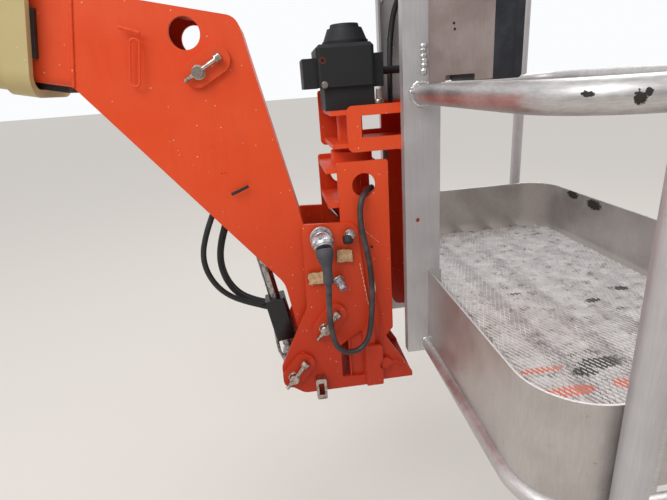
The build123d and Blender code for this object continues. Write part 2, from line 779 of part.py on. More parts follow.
# Plan of the platform, shared by boards, rails and floor
hanger_face = yoke_half + hanger_depth
gate_near, gate_far = gate_post_x
post_top = rail_z["top"] + tube_radius
post_rows = (              # x, y, radius
    (gate_near, -platform_half - gate_post_radius, gate_post_radius),
    (gate_far, -platform_half - gate_post_radius, gate_post_radius),
    (gate_near, platform_half + post_radius, post_radius),
    (gate_far, platform_half + post_radius, post_radius),
)


def posts(start, end, inset=0.0, mode=Mode.ADD):
    """Round posts between two heights, smaller than their full radius by an inset."""
    for x, y, radius in post_rows:
        with BuildSketch(level(start, x, y)) as section:
            Circle(radius - inset)
        extrude(section.sketch, amount=end - start, mode=mode)


def plan_tube(radius, outset, z, name, gate_open):
    """Tube along the platform's outline, coped to the posts and open at the gate if so."""
    back, front, half = back_x - outset, front_x + outset, platform_half + outset
    bend = corner_radius + outset
    near_run = [(back, -hanger_face, z), (back, -half, z), (gate_near + end_lap, -half, z)]
    far_run = [
        (gate_far - end_lap, -half, z), (front, -half, z), (front, half, z), (back, half, z),
        (back, hanger_face, z),
    ]
    runs = [near_run, far_run] if gate_open else [near_run[:2] + far_run[1:]]
    with BuildPart() as rail:
        for run in runs:
            points = [pivot + Vector(*point) for point in run]
            with BuildLine():
                FilletPolyline(*points, radius=bend)
            with BuildSketch(Plane(origin=points[0], z_dir=points[1] - points[0])):
                Circle(radius)
                Circle(radius - tube_wall, mode=Mode.SUBTRACT)
            sweep()
        if gate_open:
            posts(z - 2 * radius, z + 2 * radius, mode=Mode.SUBTRACT)
    finish(rail.part, name)


plan_tube(tube_radius, rail_outset, rail_z["top"], "top_rail", True)
plan_tube(tube_radius, rail_outset, rail_z["mid"], "mid_rail", True)
plan_tube(ring_radius, -board_sheet / 2, ring_z, "bottom_ring", False)

# Toe board: bent sheet on the ring, open at the gate and at the hangers
plan_centre = (back_x + front_x) / 2
plan_length = front_x - back_x
with BuildPart() as toe_board:
    with BuildSketch(level(ring_z + ring_radius, plan_centre)):
        RectangleRounded(plan_length, 2 * platform_half, corner_radius)
        RectangleRounded(
            plan_length - 2 * board_sheet, 2 * (platform_half - board_sheet),
            corner_radius - board_sheet, mode=Mode.SUBTRACT,
        )
        with Locations((back_x - plan_centre, 0)):
            Rectangle(4 * board_sheet, 2 * hanger_face, mode=Mode.SUBTRACT)
        with Locations(((gate_near + gate_far) / 2 - plan_centre, -platform_half)):
            Rectangle(gate_far - gate_near - 2 * end_lap, 4 * board_sheet, mode=Mode.SUBTRACT)
    extrude(amount=board_top - ring_z - ring_radius)

with BuildPart() as kick_plate:
    box_at(
        (hanger_front_x, hanger_front_x + board_sheet), (-hanger_face, hanger_face),
        (floor_z, board_top),
    )

# Floor: sheet with rows of openings between the joists, which rest on the ring
floor_inset = board_sheet + floor_gap
kick_face = hanger_front_x + board_sheet


def floor_plan(inset, mode=Mode.ADD):
    """Outline of the floor, smaller all round by an inset."""
    RectangleRounded(
        plan_length - 2 * inset, 2 * (platform_half - inset), corner_radius - inset, mode=mode,
    )


floor_level = level(floor_z - floor_thickness, plan_centre)
bay_starts = (kick_face, *[x + joist_width / 2 for x in joist_x])
bay_ends = (*[x - joist_width / 2 for x in joist_x], front_x)
row_pitch = 2 * (platform_half - floor_inset - floor_margin) / floor_rows
with BuildPart() as platform_floor:
    with BuildSketch(floor_level):
        floor_plan(floor_inset)
        with Locations((back_x - plan_centre, 0)):
            Rectangle(2 * (kick_face - back_x), 2 * (hanger_face + 1), mode=Mode.SUBTRACT)
    extrude(amount=floor_thickness)
    with BuildSketch(floor_level) as openings:
        for start, end in zip(bay_starts, bay_ends):
            with Locations(((start + end) / 2 - plan_centre, 0)):
                with GridLocations(0, row_pitch, 1, floor_rows):
                    Rectangle(end - start - 2 * floor_margin, row_pitch - floor_bar)
        floor_plan(floor_inset + floor_margin, Mode.INTERSECT)
    extrude(amount=floor_thickness, mode=Mode.SUBTRACT)
joist_end = platform_half - board_sheet
ring_half = platform_half - board_sheet / 2


def ring_sides(mode):
    """Solid bars in place of the ring's long sides, to cope what stands on them."""
    for y in (-ring_half, ring_half):
        with BuildSketch(Plane(origin=pivot + Vector(back_x, y, ring_z), z_dir=(1, 0, 0))) as section:
            Circle(ring_radius)
        extrude(section.sketch, amount=plan_length, mode=mode)


with BuildPart() as floor_joists:
    for x in joist_x:
        box_at(
            (x - joist_width / 2, x + joist_width / 2), (-joist_end, joist_end),
            (floor_z - floor_thickness - joist_height, floor_z - floor_thickness),
        )
    ring_sides(Mode.SUBTRACT)

with BuildPart() as platform_posts:
    posts(ring_z - ring_radius, post_top)
    posts(ring_z - ring_radius, post_top - tube_wall, tube_wall, Mode.SUBTRACT)
    ring_sides(Mode.SUBTRACT)

# Console: two sheet cheeks on the hangers, a sloping box between them and a case in front
notch_left, notch_right, notch_height = console_notch
console_slope = console_drop / (console_right - console_left)


def cheek_top(x):
    """Height of the cheeks' sloping edge above the pivot."""
    return console_top - console_slope * (x - console_left)


with BuildPart() as console_cheeks:
    for near in (hanger_face, -hanger_face - console_sheet):
        with BuildSketch(side(near)):
            rounded_face((
                (console_left, console_foot, 3), (console_right, console_foot, 3),
                (console_right, cheek_top(console_right), console_corner),
                (console_left, console_top, console_corner),
            ))
            rounded_face((
                (notch_left, console_foot - 1, 0), (notch_right, console_foot - 1, 0),
                (notch_right, console_foot + notch_height, 3),
                (notch_left, console_foot + notch_height, 3),
            ), Mode.SUBTRACT)
        extrude(amount=console_sheet)
box_left = console_left + console_set_in
box_right = console_right - console_inset
box_foot = console_top - console_box_height
with BuildPart() as console_box:
    with BuildSketch(side(hanger_face)):
        rounded_face([(x, z, console_box_corner) for x, z in (
            (box_left, box_foot), (box_right, box_foot),
            (box_right, cheek_top(box_right) + console_box_proud),
            (box_left, cheek_top(box_left) + console_box_proud),
        )])
    extrude(amount=-2 * hanger_face)
    stub(post_cable_route, cable_gland_radius, cable_gland_length, at_end=True)
case_foot = console_foot - case_drop
with BuildPart() as document_case:
    box_at(
        (console_right, case_right),
        (-hanger_face - console_sheet, hanger_face + console_sheet),
        (case_foot, case_foot + case_height),
    )
    fillet(document_case.edges().filter_by(Axis.Y), 8)

# Gate: tube frame with a toe board, in two hinges on the near post
gate_left = gate_near + gate_post_radius + gate_gap
gate_right = gate_far - gate_post_radius - gate_gap
gate_foot = floor_z + gate_board_lift
gate_top = rail_z["top"] + gate_tube + stile_rise
stile_x = gate_left + gate_tube
gate_y = -ring_half


def stiles(start, end, inset, mode=Mode.ADD):
    """Upright tubes of the gate between two heights."""
    for x in (stile_x, gate_right - gate_tube):
        with BuildSketch(level(start, x, gate_y)) as section:
            Circle(gate_tube - inset)
        extrude(section.sketch, amount=end - start, mode=mode)


def gate_bars(inset, mode=Mode.ADD):
    """Level tubes of the gate between its stiles."""
    for z in rail_z.values():
        start = pivot + Vector(stile_x, gate_y, z)
        with BuildSketch(Plane(origin=start, z_dir=(1, 0, 0))) as section:
            Circle(gate_tube - inset)
        extrude(section.sketch, amount=gate_right - gate_left - 2 * gate_tube, mode=mode)


with BuildPart() as gate_frame:
    stiles(gate_foot, gate_top, 0)
    gate_bars(0)
    gate_bars(tube_wall, Mode.SUBTRACT)
    stiles(gate_foot, gate_top - tube_wall, tube_wall, Mode.SUBTRACT)
with BuildPart() as gate_board:
    box_at(
        (gate_left + 2 * gate_tube, gate_right - 2 * gate_tube),
        (gate_y - board_sheet / 2, gate_y + board_sheet / 2),
        (gate_foot, gate_foot + gate_board_height),
    )
post_y = post_rows[0][1]
arm = Vector(stile_x - gate_near, gate_y - post_y, 0)
with BuildPart() as gate_hinges:
    for height in gate_hinge_z:
        with BuildSketch(level(height, stile_x, gate_y)):
            Circle(gate_tube + gate_hinge_wall)
        extrude(amount=gate_hinge_height)
        arm_plane = Plane(
            origin=pivot + Vector(gate_near, post_y, height), x_dir=arm, z_dir=(0, 0, 1),
        )
        with BuildSketch(arm_plane):
            with Locations((arm.length / 2, 0)):
                Rectangle(arm.length, gate_arm_width)
        extrude(amount=gate_hinge_height)
        with BuildSketch(level(height, stile_x, gate_y)):
            Circle(gate_tube + running_gap)
        extrude(amount=gate_hinge_height, mode=Mode.SUBTRACT)
        with BuildSketch(level(height, gate_near, post_y)):
            Circle(gate_post_radius)
        extrude(amount=gate_hinge_height, mode=Mode.SUBTRACT)

finish(fly_tube.part, "fly_tube")
finish(boom_nose.part, "boom_nose")
finish(wear_pads.part, "wear_pads")
finish(goose_neck.part, "goose_neck")
finish(upper_cylinder_pin.part, "upper_cylinder_pin")
finish(support_tower.part, "support_tower")
finish(king_pin.part, "king_pin")
finish(thrust_pad.part, "thrust_pad")
finish(cable_connector.part, "cable_connector")
finish(connector_boot.part, "connector_boot")
finish(capped_connector.part, "capped_connector")
finish(hose_fitting.part, "hose_fitting")
finish(latch_keeper.part, "latch_keeper")
finish(cylinder_barrel.part, "cylinder_barrel")
finish(hose_block.part, "hose_block")
finish(cylinder_rod.part, "cylinder_rod")
finish(yoke.part, "yoke")
finish(rotator_drive.part, "rotator_drive")
finish(hanger_posts.part, "hanger_posts")
finish(toe_board.part, "toe_board")
finish(kick_plate.part, "kick_plate")
finish(platform_floor.part, "platform_floor")
finish(floor_joists.part, "floor_joists")
finish(platform_posts.part, "platform_posts")
finish(console_cheeks.part, "console_cheeks")
finish(console_box.part, "console_box")
finish(document_case.part, "document_case")
finish(gate_frame.part, "gate_frame")
finish(gate_board.part, "gate_board")
finish(gate_hinges.part, "gate_hinges")

print("pivot pin", pivot + Vector(pivot_pin_at[0], 0, pivot_pin_at[1]), "king axis", pivot.X + king_x)
print("cylinder", reach.length, math.degrees(math.atan2(reach.X, reach.Z)))
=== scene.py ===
"""Platform end of a towable boom lift, dressed over its CAD nodes."""

import math

import bmesh
import bpy
from mathutils import Matrix, Vector


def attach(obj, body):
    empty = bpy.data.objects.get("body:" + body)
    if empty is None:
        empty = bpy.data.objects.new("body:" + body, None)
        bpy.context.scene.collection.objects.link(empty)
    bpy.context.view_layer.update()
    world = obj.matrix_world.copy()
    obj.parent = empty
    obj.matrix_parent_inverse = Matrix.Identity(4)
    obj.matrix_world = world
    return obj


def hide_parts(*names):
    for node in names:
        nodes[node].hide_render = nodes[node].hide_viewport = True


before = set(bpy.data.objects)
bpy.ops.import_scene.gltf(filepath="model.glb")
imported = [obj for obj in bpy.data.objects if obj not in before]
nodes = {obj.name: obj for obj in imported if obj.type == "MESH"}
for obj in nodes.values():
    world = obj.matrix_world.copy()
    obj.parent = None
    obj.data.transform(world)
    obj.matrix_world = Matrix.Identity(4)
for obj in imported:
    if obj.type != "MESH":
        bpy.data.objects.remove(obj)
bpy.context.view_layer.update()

MM = 0.001
METRE = 1000      # in mm
PIVOT = Vector((0.767546, 0.0, -0.72168))      # every place below is in mm from this point

# Outer faces of the near side, as y in mm, and the level of the expanded metal, as z in mm
NECK_FACE = -83.0
EAR_FACE = -100.0
TOWER_FACE = -91.0
POST_FACE = -116.0
MESH_LEVEL = -27.0

OUTWARD = (0, -1, 0)      # towards the camera's side
X_AXIS, Y_AXIS, Z_AXIS = (1, 0, 0), (0, 1, 0), (0, 0, 1)


def at(x, y, z):
    """A place in metres from its x, y and z in mm from the platform's pivot."""
    return PIVOT + Vector((x, y, z)) * MM


def linked(name, data):
    """A new object of the data, in the scene."""
    made = bpy.data.objects.new(name, data)
    bpy.context.scene.collection.objects.link(made)
    return made


# Camera: placed as for the photograph, a little above the platform's floor
FOCAL_PIXELS = 460.0
IMAGE_WIDTH = 667.0
camera = linked("camera", bpy.data.cameras.new("camera"))
camera.data.sensor_width = 36.0
camera.data.lens = FOCAL_PIXELS / IMAGE_WIDTH * camera.data.sensor_width
camera.data.clip_start = 0.05
right = Vector((0.9903, -0.1192, -0.0715))
forward = Vector((0.0884, 0.9371, -0.3376)).normalized()
up = right.cross(forward).normalized()
right = forward.cross(up)
camera.matrix_world = Matrix.Translation((0.7135, -1.04, -0.1867)) @ Matrix(
    (right, up, -forward)
).transposed().to_4x4()
bpy.context.scene.camera = camera


# Cords: smooth lines through the listed points of each route
def curve(name, points, radius):
    """A round NURBS cord with the points, in mm, as its control points."""
    data = bpy.data.curves.new(name, "CURVE")
    data.dimensions = "3D"
    data.bevel_depth = 1.0      # so that each point's own radius is the cord's, in metres
    data.bevel_resolution = 5
    data.use_fill_caps = True
    data.resolution_u = 10
    spline = data.splines.new("NURBS")
    spline.points.add(len(points) - 1)
    for point, place in zip(spline.points, points):
        point.co = (*at(*place), 1.0)
        point.radius = radius * MM
    spline.order_u = 3
    spline.use_endpoint_u = True
    return linked(name, data)


JUMPER = (
    (14, -141, 118), (11, -140, 70), (13, -138, 22), (21, -135, -24), (45, -129, -47),
    (77, -124, -47), (99, -120, -24), (107, -116, 16), (112, -113, 60), (114, -110, 108),
    (112, -108, 156), (105, -107, 200), (98, -106, 238), (96, -106, 268), (98, -105, 292),
    (105, -98, 309), (118, -78, 315), (135, -46, 315),
)
HOSES = (
    (0.342, (
        (-143, -14, 43), (-185, -14, 59), (-228, -21, 92), (-253, -27, 140), (-258, -30, 190),
        (-243, -28, 238), (-222, -24, 282), (-203, -20, 318),
    )),
    (0.286, (
        (-143, 0, 43), (-176, 0, 56), (-205, 0, 84), (-222, 0, 122), (-227, 0, 164),
        (-219, 0, 206), (-204, 0, 246), (-188, 0, 285),
    )),
    (0.292, (
        (-143, 14, 43), (-178, 14, 57), (-208, 18, 86), (-224, 19, 126), (-226, 18, 168),
        (-215, 17, 210), (-198, 16, 250), (-182, 15, 289),
    )),
)
POST_CABLE = (
    (208, 60, 484), (208, 60, 524), (213, 76, 576), (220, 92, 628), (229, 92, 680),
    (246, 76, 724), (270, 63, 756), (282, 59, 790),
)
CORD_RADIUS = 6.5

jumper = curve("jumper_cable_sheath", JUMPER, CORD_RADIUS)
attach(jumper, "platform_support")
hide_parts("jumper_cable")
post_cable = curve("post_cable_sheath", POST_CABLE, CORD_RADIUS)
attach(post_cable, "platform")
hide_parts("post_cable")
hoses = []
for number, (length, route) in enumerate(HOSES, 1):
    hose = curve(f"hose_{number}", route, CORD_RADIUS)
    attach(hose, "levelling_barrel")
    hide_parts(f"cylinder_hose_{number}")
    hoses.append(hose)


# Shader nodes
def linear(code):
    """An sRGB hex colour as the linear values that a shader takes."""
    values = [int(code[i:i + 2], 16) / 255 for i in (1, 3, 5)]
    return [v / 12.92 if v <= 0.04045 else ((v + 0.055) / 1.055) ** 2.4 for v in values] + [1.0]


def add(tree, kind, inputs=None, prefix="ShaderNode", **settings):
    """Adds a node with its settings; each input is a value or another node's output."""
    made = tree.nodes.new(prefix + kind)
    for name, value in settings.items():
        setattr(made, name, value)
    for name, value in (inputs or {}).items():
        if isinstance(value, bpy.types.NodeSocket):
            tree.links.new(value, made.inputs[name])
        else:
            made.inputs[name].default_value = value
    return made


def grain(tree, pitch, stretch=(1, 1, 1), detail=3.0, roughness=0.55):
    """Noise whose lumps are about pitch mm apart, drawn out where stretch is above 1."""
    coords = add(tree, "TexCoord").outputs["Object"]
    scaled = add(tree, "Mapping", {
        "Vector": coords, "Scale": [METRE / pitch / s for s in stretch],
    })
    noise = add(tree, "TexNoise", {
        "Vector": scaled.outputs[0], "Scale": 1.0, "Detail": detail, "Roughness": roughness,
    })
    return noise.outputs["Fac"]


def between(tree, value, low, high, start=0.0, end=1.0):
    """The value mapped smoothly from low..high to start..end."""
    made = add(tree, "MapRange", {
        "Value": value, "From Min": low, "From Max": high, "To Min": start, "To Max": end,
    }, interpolation_type="SMOOTHSTEP")
    return made.outputs[0]


def sums(tree, operation, first, second):
    """Arithmetic between two values."""
    made = add(tree, "Math", {0: first, 1: second}, operation=operation)
    return made.outputs[0]


def mixed(tree, factor, first, second):
    """A colour between two, each an sRGB code or a node's output."""
    first, second = (linear(c) if isinstance(c, str) else c for c in (first, second))
    return add(tree, "Mix", {0: factor, 6: first, 7: second}, data_type="RGBA").outputs[2]


def height_of(tree):
    """Height above the pivot in mm."""
    coords = add(tree, "TexCoord").outputs["Object"]
    z = add(tree, "SeparateXYZ", {0: coords}).outputs["Z"]
    return sums(tree, "MULTIPLY", sums(tree, "SUBTRACT", z, PIVOT.z), METRE)


def patches(tree, places, pitch, ragged=0.9):
    """1 inside ragged patches, each a centre and reach in mm, and 0 outside."""
    coords = add(tree, "TexCoord").outputs["Object"]
    rough = grain(tree, pitch, detail=5.0, roughness=0.7)
    wander = sums(tree, "MULTIPLY", sums(tree, "SUBTRACT", rough, 0.5), ragged * 2)
    total = None
    for centre, reach in places:
        away = add(tree, "VectorMath", {0: coords, 1: at(*centre)}, operation="SUBTRACT")
        scaled = add(tree, "VectorMath", {
            0: away.outputs[0], 1: [METRE / r for r in reach],
        }, operation="MULTIPLY")
        size = add(tree, "VectorMath", {0: scaled.outputs[0]}, operation="LENGTH")
        inside = between(tree, sums(tree, "ADD", size.outputs["Value"], wander), 1.08, 0.92)
        total = inside if total is None else sums(tree, "MAXIMUM", total, inside)
    return total


def finish_of(name, roughness, metallic=0.0, **sockets):
    """A new material with its tree and shader, values that don't vary set on the shader."""
    made = bpy.data.materials.new(name)
    made.use_nodes = True
    tree = made.node_tree
    shader = next(n for n in tree.nodes if n.type == "BSDF_PRINCIPLED")
    shader.inputs["Roughness"].default_value = roughness
    shader.inputs["Metallic"].default_value = metallic
    for socket, value in sockets.items():
        shader.inputs[socket.replace("_", " ")].default_value = value
    return made, tree, shader


def bumped(tree, shader, heights, edge=0.0):
    """Joins heights, each a value and its depth in mm, to the shader's normal."""
    normal = None
    if edge:
        normal = add(tree, "Bevel", {"Radius": edge * MM}, samples=4).outputs[0]
    for value, depth in heights:
        inputs = {"Height": value, "Distance": depth * MM, "Strength": 1.0}
        if normal is not None:
            inputs["Normal"] = normal
        normal = add(tree, "Bump", inputs).outputs[0]
    tree.links.new(normal, shader.inputs["Normal"])


def colour_to(tree, shader, colour, roughness=None):
    """Joins a colour, and a roughness that varies, to the shader."""
    tree.links.new(colour, shader.inputs["Base Color"])
    if roughness is not None:
        tree.links.new(roughness, shader.inputs["Roughness"])


def speckled(name, roughness, pitch, limits, tone, other, metallic=0.0, stretch=(1, 1, 1)):
    """One tone that turns to another where noise of the pitch rises through the limits."""
    made, tree, shader = finish_of(name, roughness, metallic)
    share = between(tree, grain(tree, pitch, stretch), *limits)
    colour_to(tree, shader, mixed(tree, share, tone, other))
    return made


def painted(name, body, faded, grime, places=(), painted_shade=None):
    """Sprayed machine paint: slight fading, dust, fine chips, streaks of dirt and a darkening
    towards the bottom; a deep colour, where given, is painted shade that grows downwards.
    """
    made, tree, shader = finish_of(name, 0.42, Specular_IOR_Level=0.3)
    cloudy = grain(tree, 140, detail=5.0)
    height = height_of(tree)
    colour = mixed(tree, between(tree, cloudy, 0.35, 0.7, 0.0, 0.55), body, faded)
    # Painted shade: the colour deepens from 420 mm above the pivot to 150 mm below it, where less
    # light falls
    if painted_shade:
        colour = mixed(tree, between(tree, height, 420, -150), colour, painted_shade)
    streaks = grain(tree, 16, (1, 1, 7), detail=4.0)
    film = sums(tree, "MULTIPLY", between(tree, streaks, 0.45, 0.75), 0.08)
    colour = mixed(tree, film, colour, grime)
    low = between(tree, height, 60, -160, 0.0, 0.35)
    colour = mixed(tree, sums(tree, "MULTIPLY", low, cloudy), colour, grime)
    dust = add(tree, "TexVoronoi", {
        "Vector": add(tree, "TexCoord").outputs["Object"], "Scale": 62.0, "Randomness": 1.0,
    }).outputs["Distance"]
    spots = between(tree, dust, 0.10, 0.05, 0.0, 0.75)
    spots = sums(tree, "MULTIPLY", spots, between(tree, cloudy, 0.42, 0.52))
    colour = mixed(tree, spots, colour, "#F3C4B0")
    chips = between(tree, grain(tree, 5.5, detail=2.0), 0.765, 0.79)
    chips = sums(tree, "MULTIPLY", chips, between(tree, grain(tree, 45), 0.56, 0.66))
    colour = mixed(tree, chips, colour, "#D8CFC4")
    if places:
        colour = mixed(tree, patches(tree, places, 5.0), colour, "#E3D2C6")
    rough = between(tree, cloudy, 0.3, 0.7, 0.36, 0.52)
    colour_to(tree, shader, colour, rough)
    bumped(tree, shader, [(grain(tree, 3.2, detail=2.0), 0.06), (cloudy, 1.0)], edge=1.3)
    return made


def aluminium(name, tone, pale, stretch, wear, sheen, lined, metal=1.0, cloud=85, marks=(),
              mark="#26221F"):
    """Bare aluminium: fine lines drawn out by the stretch, dull handling marks and rub marks."""
    made, tree, shader = finish_of(name, sheen, metallic=metal)
    lines = grain(tree, 2.2, stretch, detail=4.0, roughness=0.7)
    clouds = grain(tree, cloud, detail=6.0, roughness=0.6)
    colour = mixed(tree, between(tree, clouds, 0.35, 0.68), tone, pale)
    colour = mixed(tree, between(tree, lines, 0.35, 0.7, 0.0, lined), colour, "#6F6A68")
    smears = between(tree, grain(tree, 22, detail=5.0, roughness=0.7), 0.62, 0.74, 0.0, wear)
    colour = mixed(tree, smears, colour, "#7D736C")
    flecks = between(tree, grain(tree, 4.5, detail=3.0, roughness=0.7), 0.72, 0.76)
    flecks = sums(tree, "MULTIPLY", flecks, between(tree, grain(tree, 60), 0.55, 0.65, 0.0, wear))
    colour = mixed(tree, flecks, colour, "#35302E")
    rough = between(tree, clouds, 0.3, 0.7, sheen - 0.07, sheen + 0.1)
    if marks:
        rubbed = patches(tree, marks, 7.0)
        colour = mixed(tree, rubbed, colour, mark)
        rough = sums(tree, "MAXIMUM", rough, sums(tree, "MULTIPLY", rubbed, 0.8))
        bare = sums(tree, "MULTIPLY", sums(tree, "SUBTRACT", 1.0, rubbed), metal)
        tree.links.new(bare, shader.inputs["Metallic"])
    colour_to(tree, shader, colour, rough)
    bumped(tree, shader, [(lines, 0.03), (grain(tree, 30, detail=3.0), 0.5)], edge=1.0)
    return made


def plated(name, tone, stain, sheen):
    """Plating: bright and cloudy, with brown bloom."""
    made, tree, shader = finish_of(name, sheen, metallic=1.0)
    clouds = grain(tree, 9, detail=5.0)
    colour = mixed(tree, between(tree, clouds, 0.4, 0.7), tone, stain)
    rust_and_hole_shade = between(tree, grain(tree, 5, detail=4.0, roughness=0.7), 0.66, 0.76, 0.0, 0.7)
    colour = mixed(tree, rust_and_hole_shade, colour, "#6B5442")
    colour_to(tree, shader, colour, between(tree, clouds, 0.3, 0.7, sheen - 0.08, sheen + 0.18))
    bumped(tree, shader, [(grain(tree, 1.2, detail=2.0), 0.05)], edge=0.4)
    return made


def moulded(name, tone, pale, rough, pitch, depth, dusty=0.35):
    """Rubber, cast black or moulded plastic: fine grain with dust in it."""
    made, tree, shader = finish_of(name, rough)
    clouds = grain(tree, 55, detail=5.0)
    fine = grain(tree, pitch, detail=3.0)
    dust = sums(tree, "MULTIPLY", between(tree, clouds, 0.42, 0.72), dusty)
    colour = mixed(tree, dust, tone, pale)
    colour = mixed(tree, between(tree, fine, 0.55, 0.8, 0.0, 0.3), colour, pale)
    colour_to(tree, shader, colour, between(tree, clouds, 0.3, 0.7, rough - 0.08, rough + 0.1))
    bumped(tree, shader, [(fine, depth)], edge=0.8)
    return made


def on_mesh(marks, depth=12):
    """Places for patches() on the expanded metal: x, y and the reach in both of each mark."""
    return [((x, y, MESH_LEVEL), (long, wide, depth)) for x, y, long, wide in marks]


def expanded_metal():
    """Flat aluminium mesh: dull, dusty, with old orange overspray and black burns."""
    made, tree, shader = finish_of("aluminium_mesh", 0.5, metallic=1.0)
    clouds = grain(tree, 44, detail=6.0, roughness=0.7)
    colour = mixed(tree, between(tree, clouds, 0.35, 0.7), "#C4BFBE", "#E4E1E0")
    dirt = between(tree, grain(tree, 26, detail=6.0, roughness=0.7), 0.52, 0.70, 0.0, 0.8)
    colour = mixed(tree, dirt, colour, "#6E625C")
    spray = patches(tree, on_mesh(
        ((423, -383, 52, 15), (405, -312, 44, 9), (535, -381, 24, 14))
    ), 16.0, ragged=0.5)
    colour = mixed(tree, sums(tree, "MULTIPLY", spray, 0.85), colour, "#D8674F")
    burn = patches(tree, on_mesh(
        ((533, -312, 44, 20), (487, -333, 26, 14), (799, -19, 17, 12), (687, -65, 20, 9),
         (525, 19, 16, 6))
    ), 14.0)
    colour = mixed(tree, sums(tree, "MULTIPLY", burn, 0.9), colour, "#1F1D1E")
    dull = sums(tree, "SUBTRACT", 1.0, sums(tree, "MAXIMUM", spray, burn))
    tree.links.new(dull, shader.inputs["Metallic"])
    colour_to(tree, shader, colour, between(tree, clouds, 0.3, 0.7, 0.42, 0.62))
    return made


# Marks that the photograph shows, each a centre and a reach in mm
PAINT_SCRAPES = (
    ((-130, -83, 571), (7, 3, 3.5)), ((114, -91, 356), (1.6, 3, 14)),
    ((149, -91, 315), (14, 3, 1.5)), ((118, -100, 60), (1.6, 6, 26)),
    ((124, -91, 88), (1.5, 4, 20)),
)
RUB_MARKS = (
    ((286, -624, 503), (5.5, 9, 7.5)), ((292, -624, 508), (3.5, 8, 4)),
    ((249, -602, 509), (5, 14, 3.5)), ((932, 400, 1085), (6, 14, 6)),
)
BOARD_MARKS = (((924.8, 414, 119), (3, 32, 13)), ((924.8, 300, 110), (3, 36, 16)))
POST_MARKS = (((219.8, -115, 249), (4.2, 5, 4.2)),)

# The orange's last colour is painted shade, deepening towards the bottom
orange = painted(
    "orange_machine_paint", "#DE4A20", "#E2552B", "#8E2F17", PAINT_SCRAPES, painted_shade="#B42C0C",
)
cream = painted("cream_machine_paint", "#BBAA78", "#C6B68A", "#8F7E58")
post_metal = aluminium(
    "mill_finish_aluminium", "#BDBABB", "#C6C3C4", (1, 1, 30), wear=0.15, sheen=0.55,
    lined=0.12, metal=0.7, marks=POST_MARKS, mark="#8A2018",
)
rail_metal = aluminium(
    "handled_aluminium_tube", "#C2BFBE", "#D6D3D2", (6, 6, 1), wear=0.4, sheen=0.44,
    lined=0.25, cloud=120, marks=RUB_MARKS,
)
board_metal = aluminium(
    "rolled_aluminium_sheet", "#B2ABA7", "#C3BEBA", (1, 1, 12), wear=0.5, sheen=0.4,
    lined=0.14, metal=0.75, cloud=150, marks=BOARD_MARKS,
)
cheek_metal = aluminium(
    "upright_rolled_sheet", "#A08F8B", "#B1A29E", (1, 1, 16), wear=0.2, sheen=0.5,
    lined=0.2, metal=0.7,
)
mesh_metal = expanded_metal()
zinc = plated("zinc_plating", "#C0B3AB", "#857A73", 0.26)
barrel_metal = plated("barrel_plating", "#A9A3A2", "#6B6667", 0.24)
cast = plated("nickelled_casting", "#CBC9CC", "#8C898F", 0.36)
chrome = speckled(
    "hard_chrome", 0.12, 12, (0.5, 0.75), "#C9CCD0", "#8E8F90", metallic=1.0, stretch=(1, 1, 3),
)
weld_metal = speckled(
    "bright_aluminium_weld", 0.28, 2.5, (0.4, 0.7), "#DAD8D8", "#9A9796", metallic=1.0,
)
label_glue = speckled("dirty_label_glue", 0.8, 3.0, (0.45, 0.6), "#3A221A", "#B9502E")
scrape = speckled("chipped_paint_edge", 0.5, 6.0, (0.4, 0.6), "#F0D9CC", "#D98A70")
drive_black = moulded("black_casting_paint", "#0C0D11", "#1E1F25", 0.62, 2.2, 0.12)
cylinder_black = moulded("black_cylinder_paint", "#0A0A0C", "#2A2827", 0.3, 3.0, 0.05, 0.2)
rubber = moulded("black_rubber", "#141214", "#4A4444", 0.6, 1.6, 0.08, 0.3)
boot_rubber = moulded("grey_rubber_boot", "#3A3A41", "#6A6467", 0.6, 1.8, 0.12, 0.6)
cable_sheath = moulded("dusty_cable_sheath", "#2B2425", "#6E6263", 0.5, 1.5, 0.06, 0.5)
case_plastic = moulded("crinkled_black_plastic", "#15171E", "#464A55", 0.6, 2.6, 0.35, 0.4)
nylon = moulded("black_nylon", "#222122", "#4A4541", 0.5, 2.0, 0.05)
console_paint = painted("grey_console_paint", "#7B7C7E", "#8A8B8D", "#4C4A48")

# What each CAD node is made of
for material, names in (
    (orange, (
        "fly_tube", "goose_neck", "support_tower", "near_ear_plate", "far_ear_plate", "yoke",
        "king_pin", "thrust_pad",
    )),
    (cream, ("boom_nose",)),
    (post_metal, ("hanger_posts", "platform_posts", "gate_hinges")),
    (rail_metal, ("top_rail", "mid_rail", "bottom_ring", "gate_frame")),
    (board_metal, ("toe_board", "kick_plate", "floor_joists", "gate_board")),
    (cheek_metal, ("console_cheeks",)),
    (zinc, ("upper_cylinder_pin", "pivot_pin", "lower_cylinder_pin", "latch_keeper")),
    (cast, ("capped_connector",)),
    (barrel_metal, ("cylinder_barrel",)),
    (cylinder_black, ("hose_block",)),
    (chrome, ("cylinder_rod",)),
    (drive_black, ("rotator_drive",)),
    (nylon, ("wear_pads",)),
    (case_plastic, ("document_case",)),
    (console_paint, ("console_box",)),
):
    for name in names:
        for material_slot in nodes[name].material_slots:
            material_slot.material = material
jumper.data.materials.append(cable_sheath)
post_cable.data.materials.append(rubber)
for hose in hoses:
    hose.data.materials.append(rubber)


# Mesh making
def along(direction):
    """A turn whose third axis is the direction."""
    return Vector(direction).to_track_quat("Z", "Y").to_matrix().to_4x4()


def hexagon(angle):
    """How far a hexagon's outline lies from its middle, where a flat is at 1."""
    return 1 / math.cos((angle + math.pi / 6) % (math.pi / 3) - math.pi / 6)


def skin(form, rings, back=True, front=True):
    """Joins rings of vertices with faces and closes the first and the last ring."""
    for first, second in zip(rings, rings[1:]):
        for i, vertex in enumerate(first):
            j = (i + 1) % len(first)
            form.faces.new((vertex, first[j], second[j], second[i]))
    if back:
        form.faces.new(list(reversed(rings[0])))
    if front:
        form.faces.new(rings[-1])


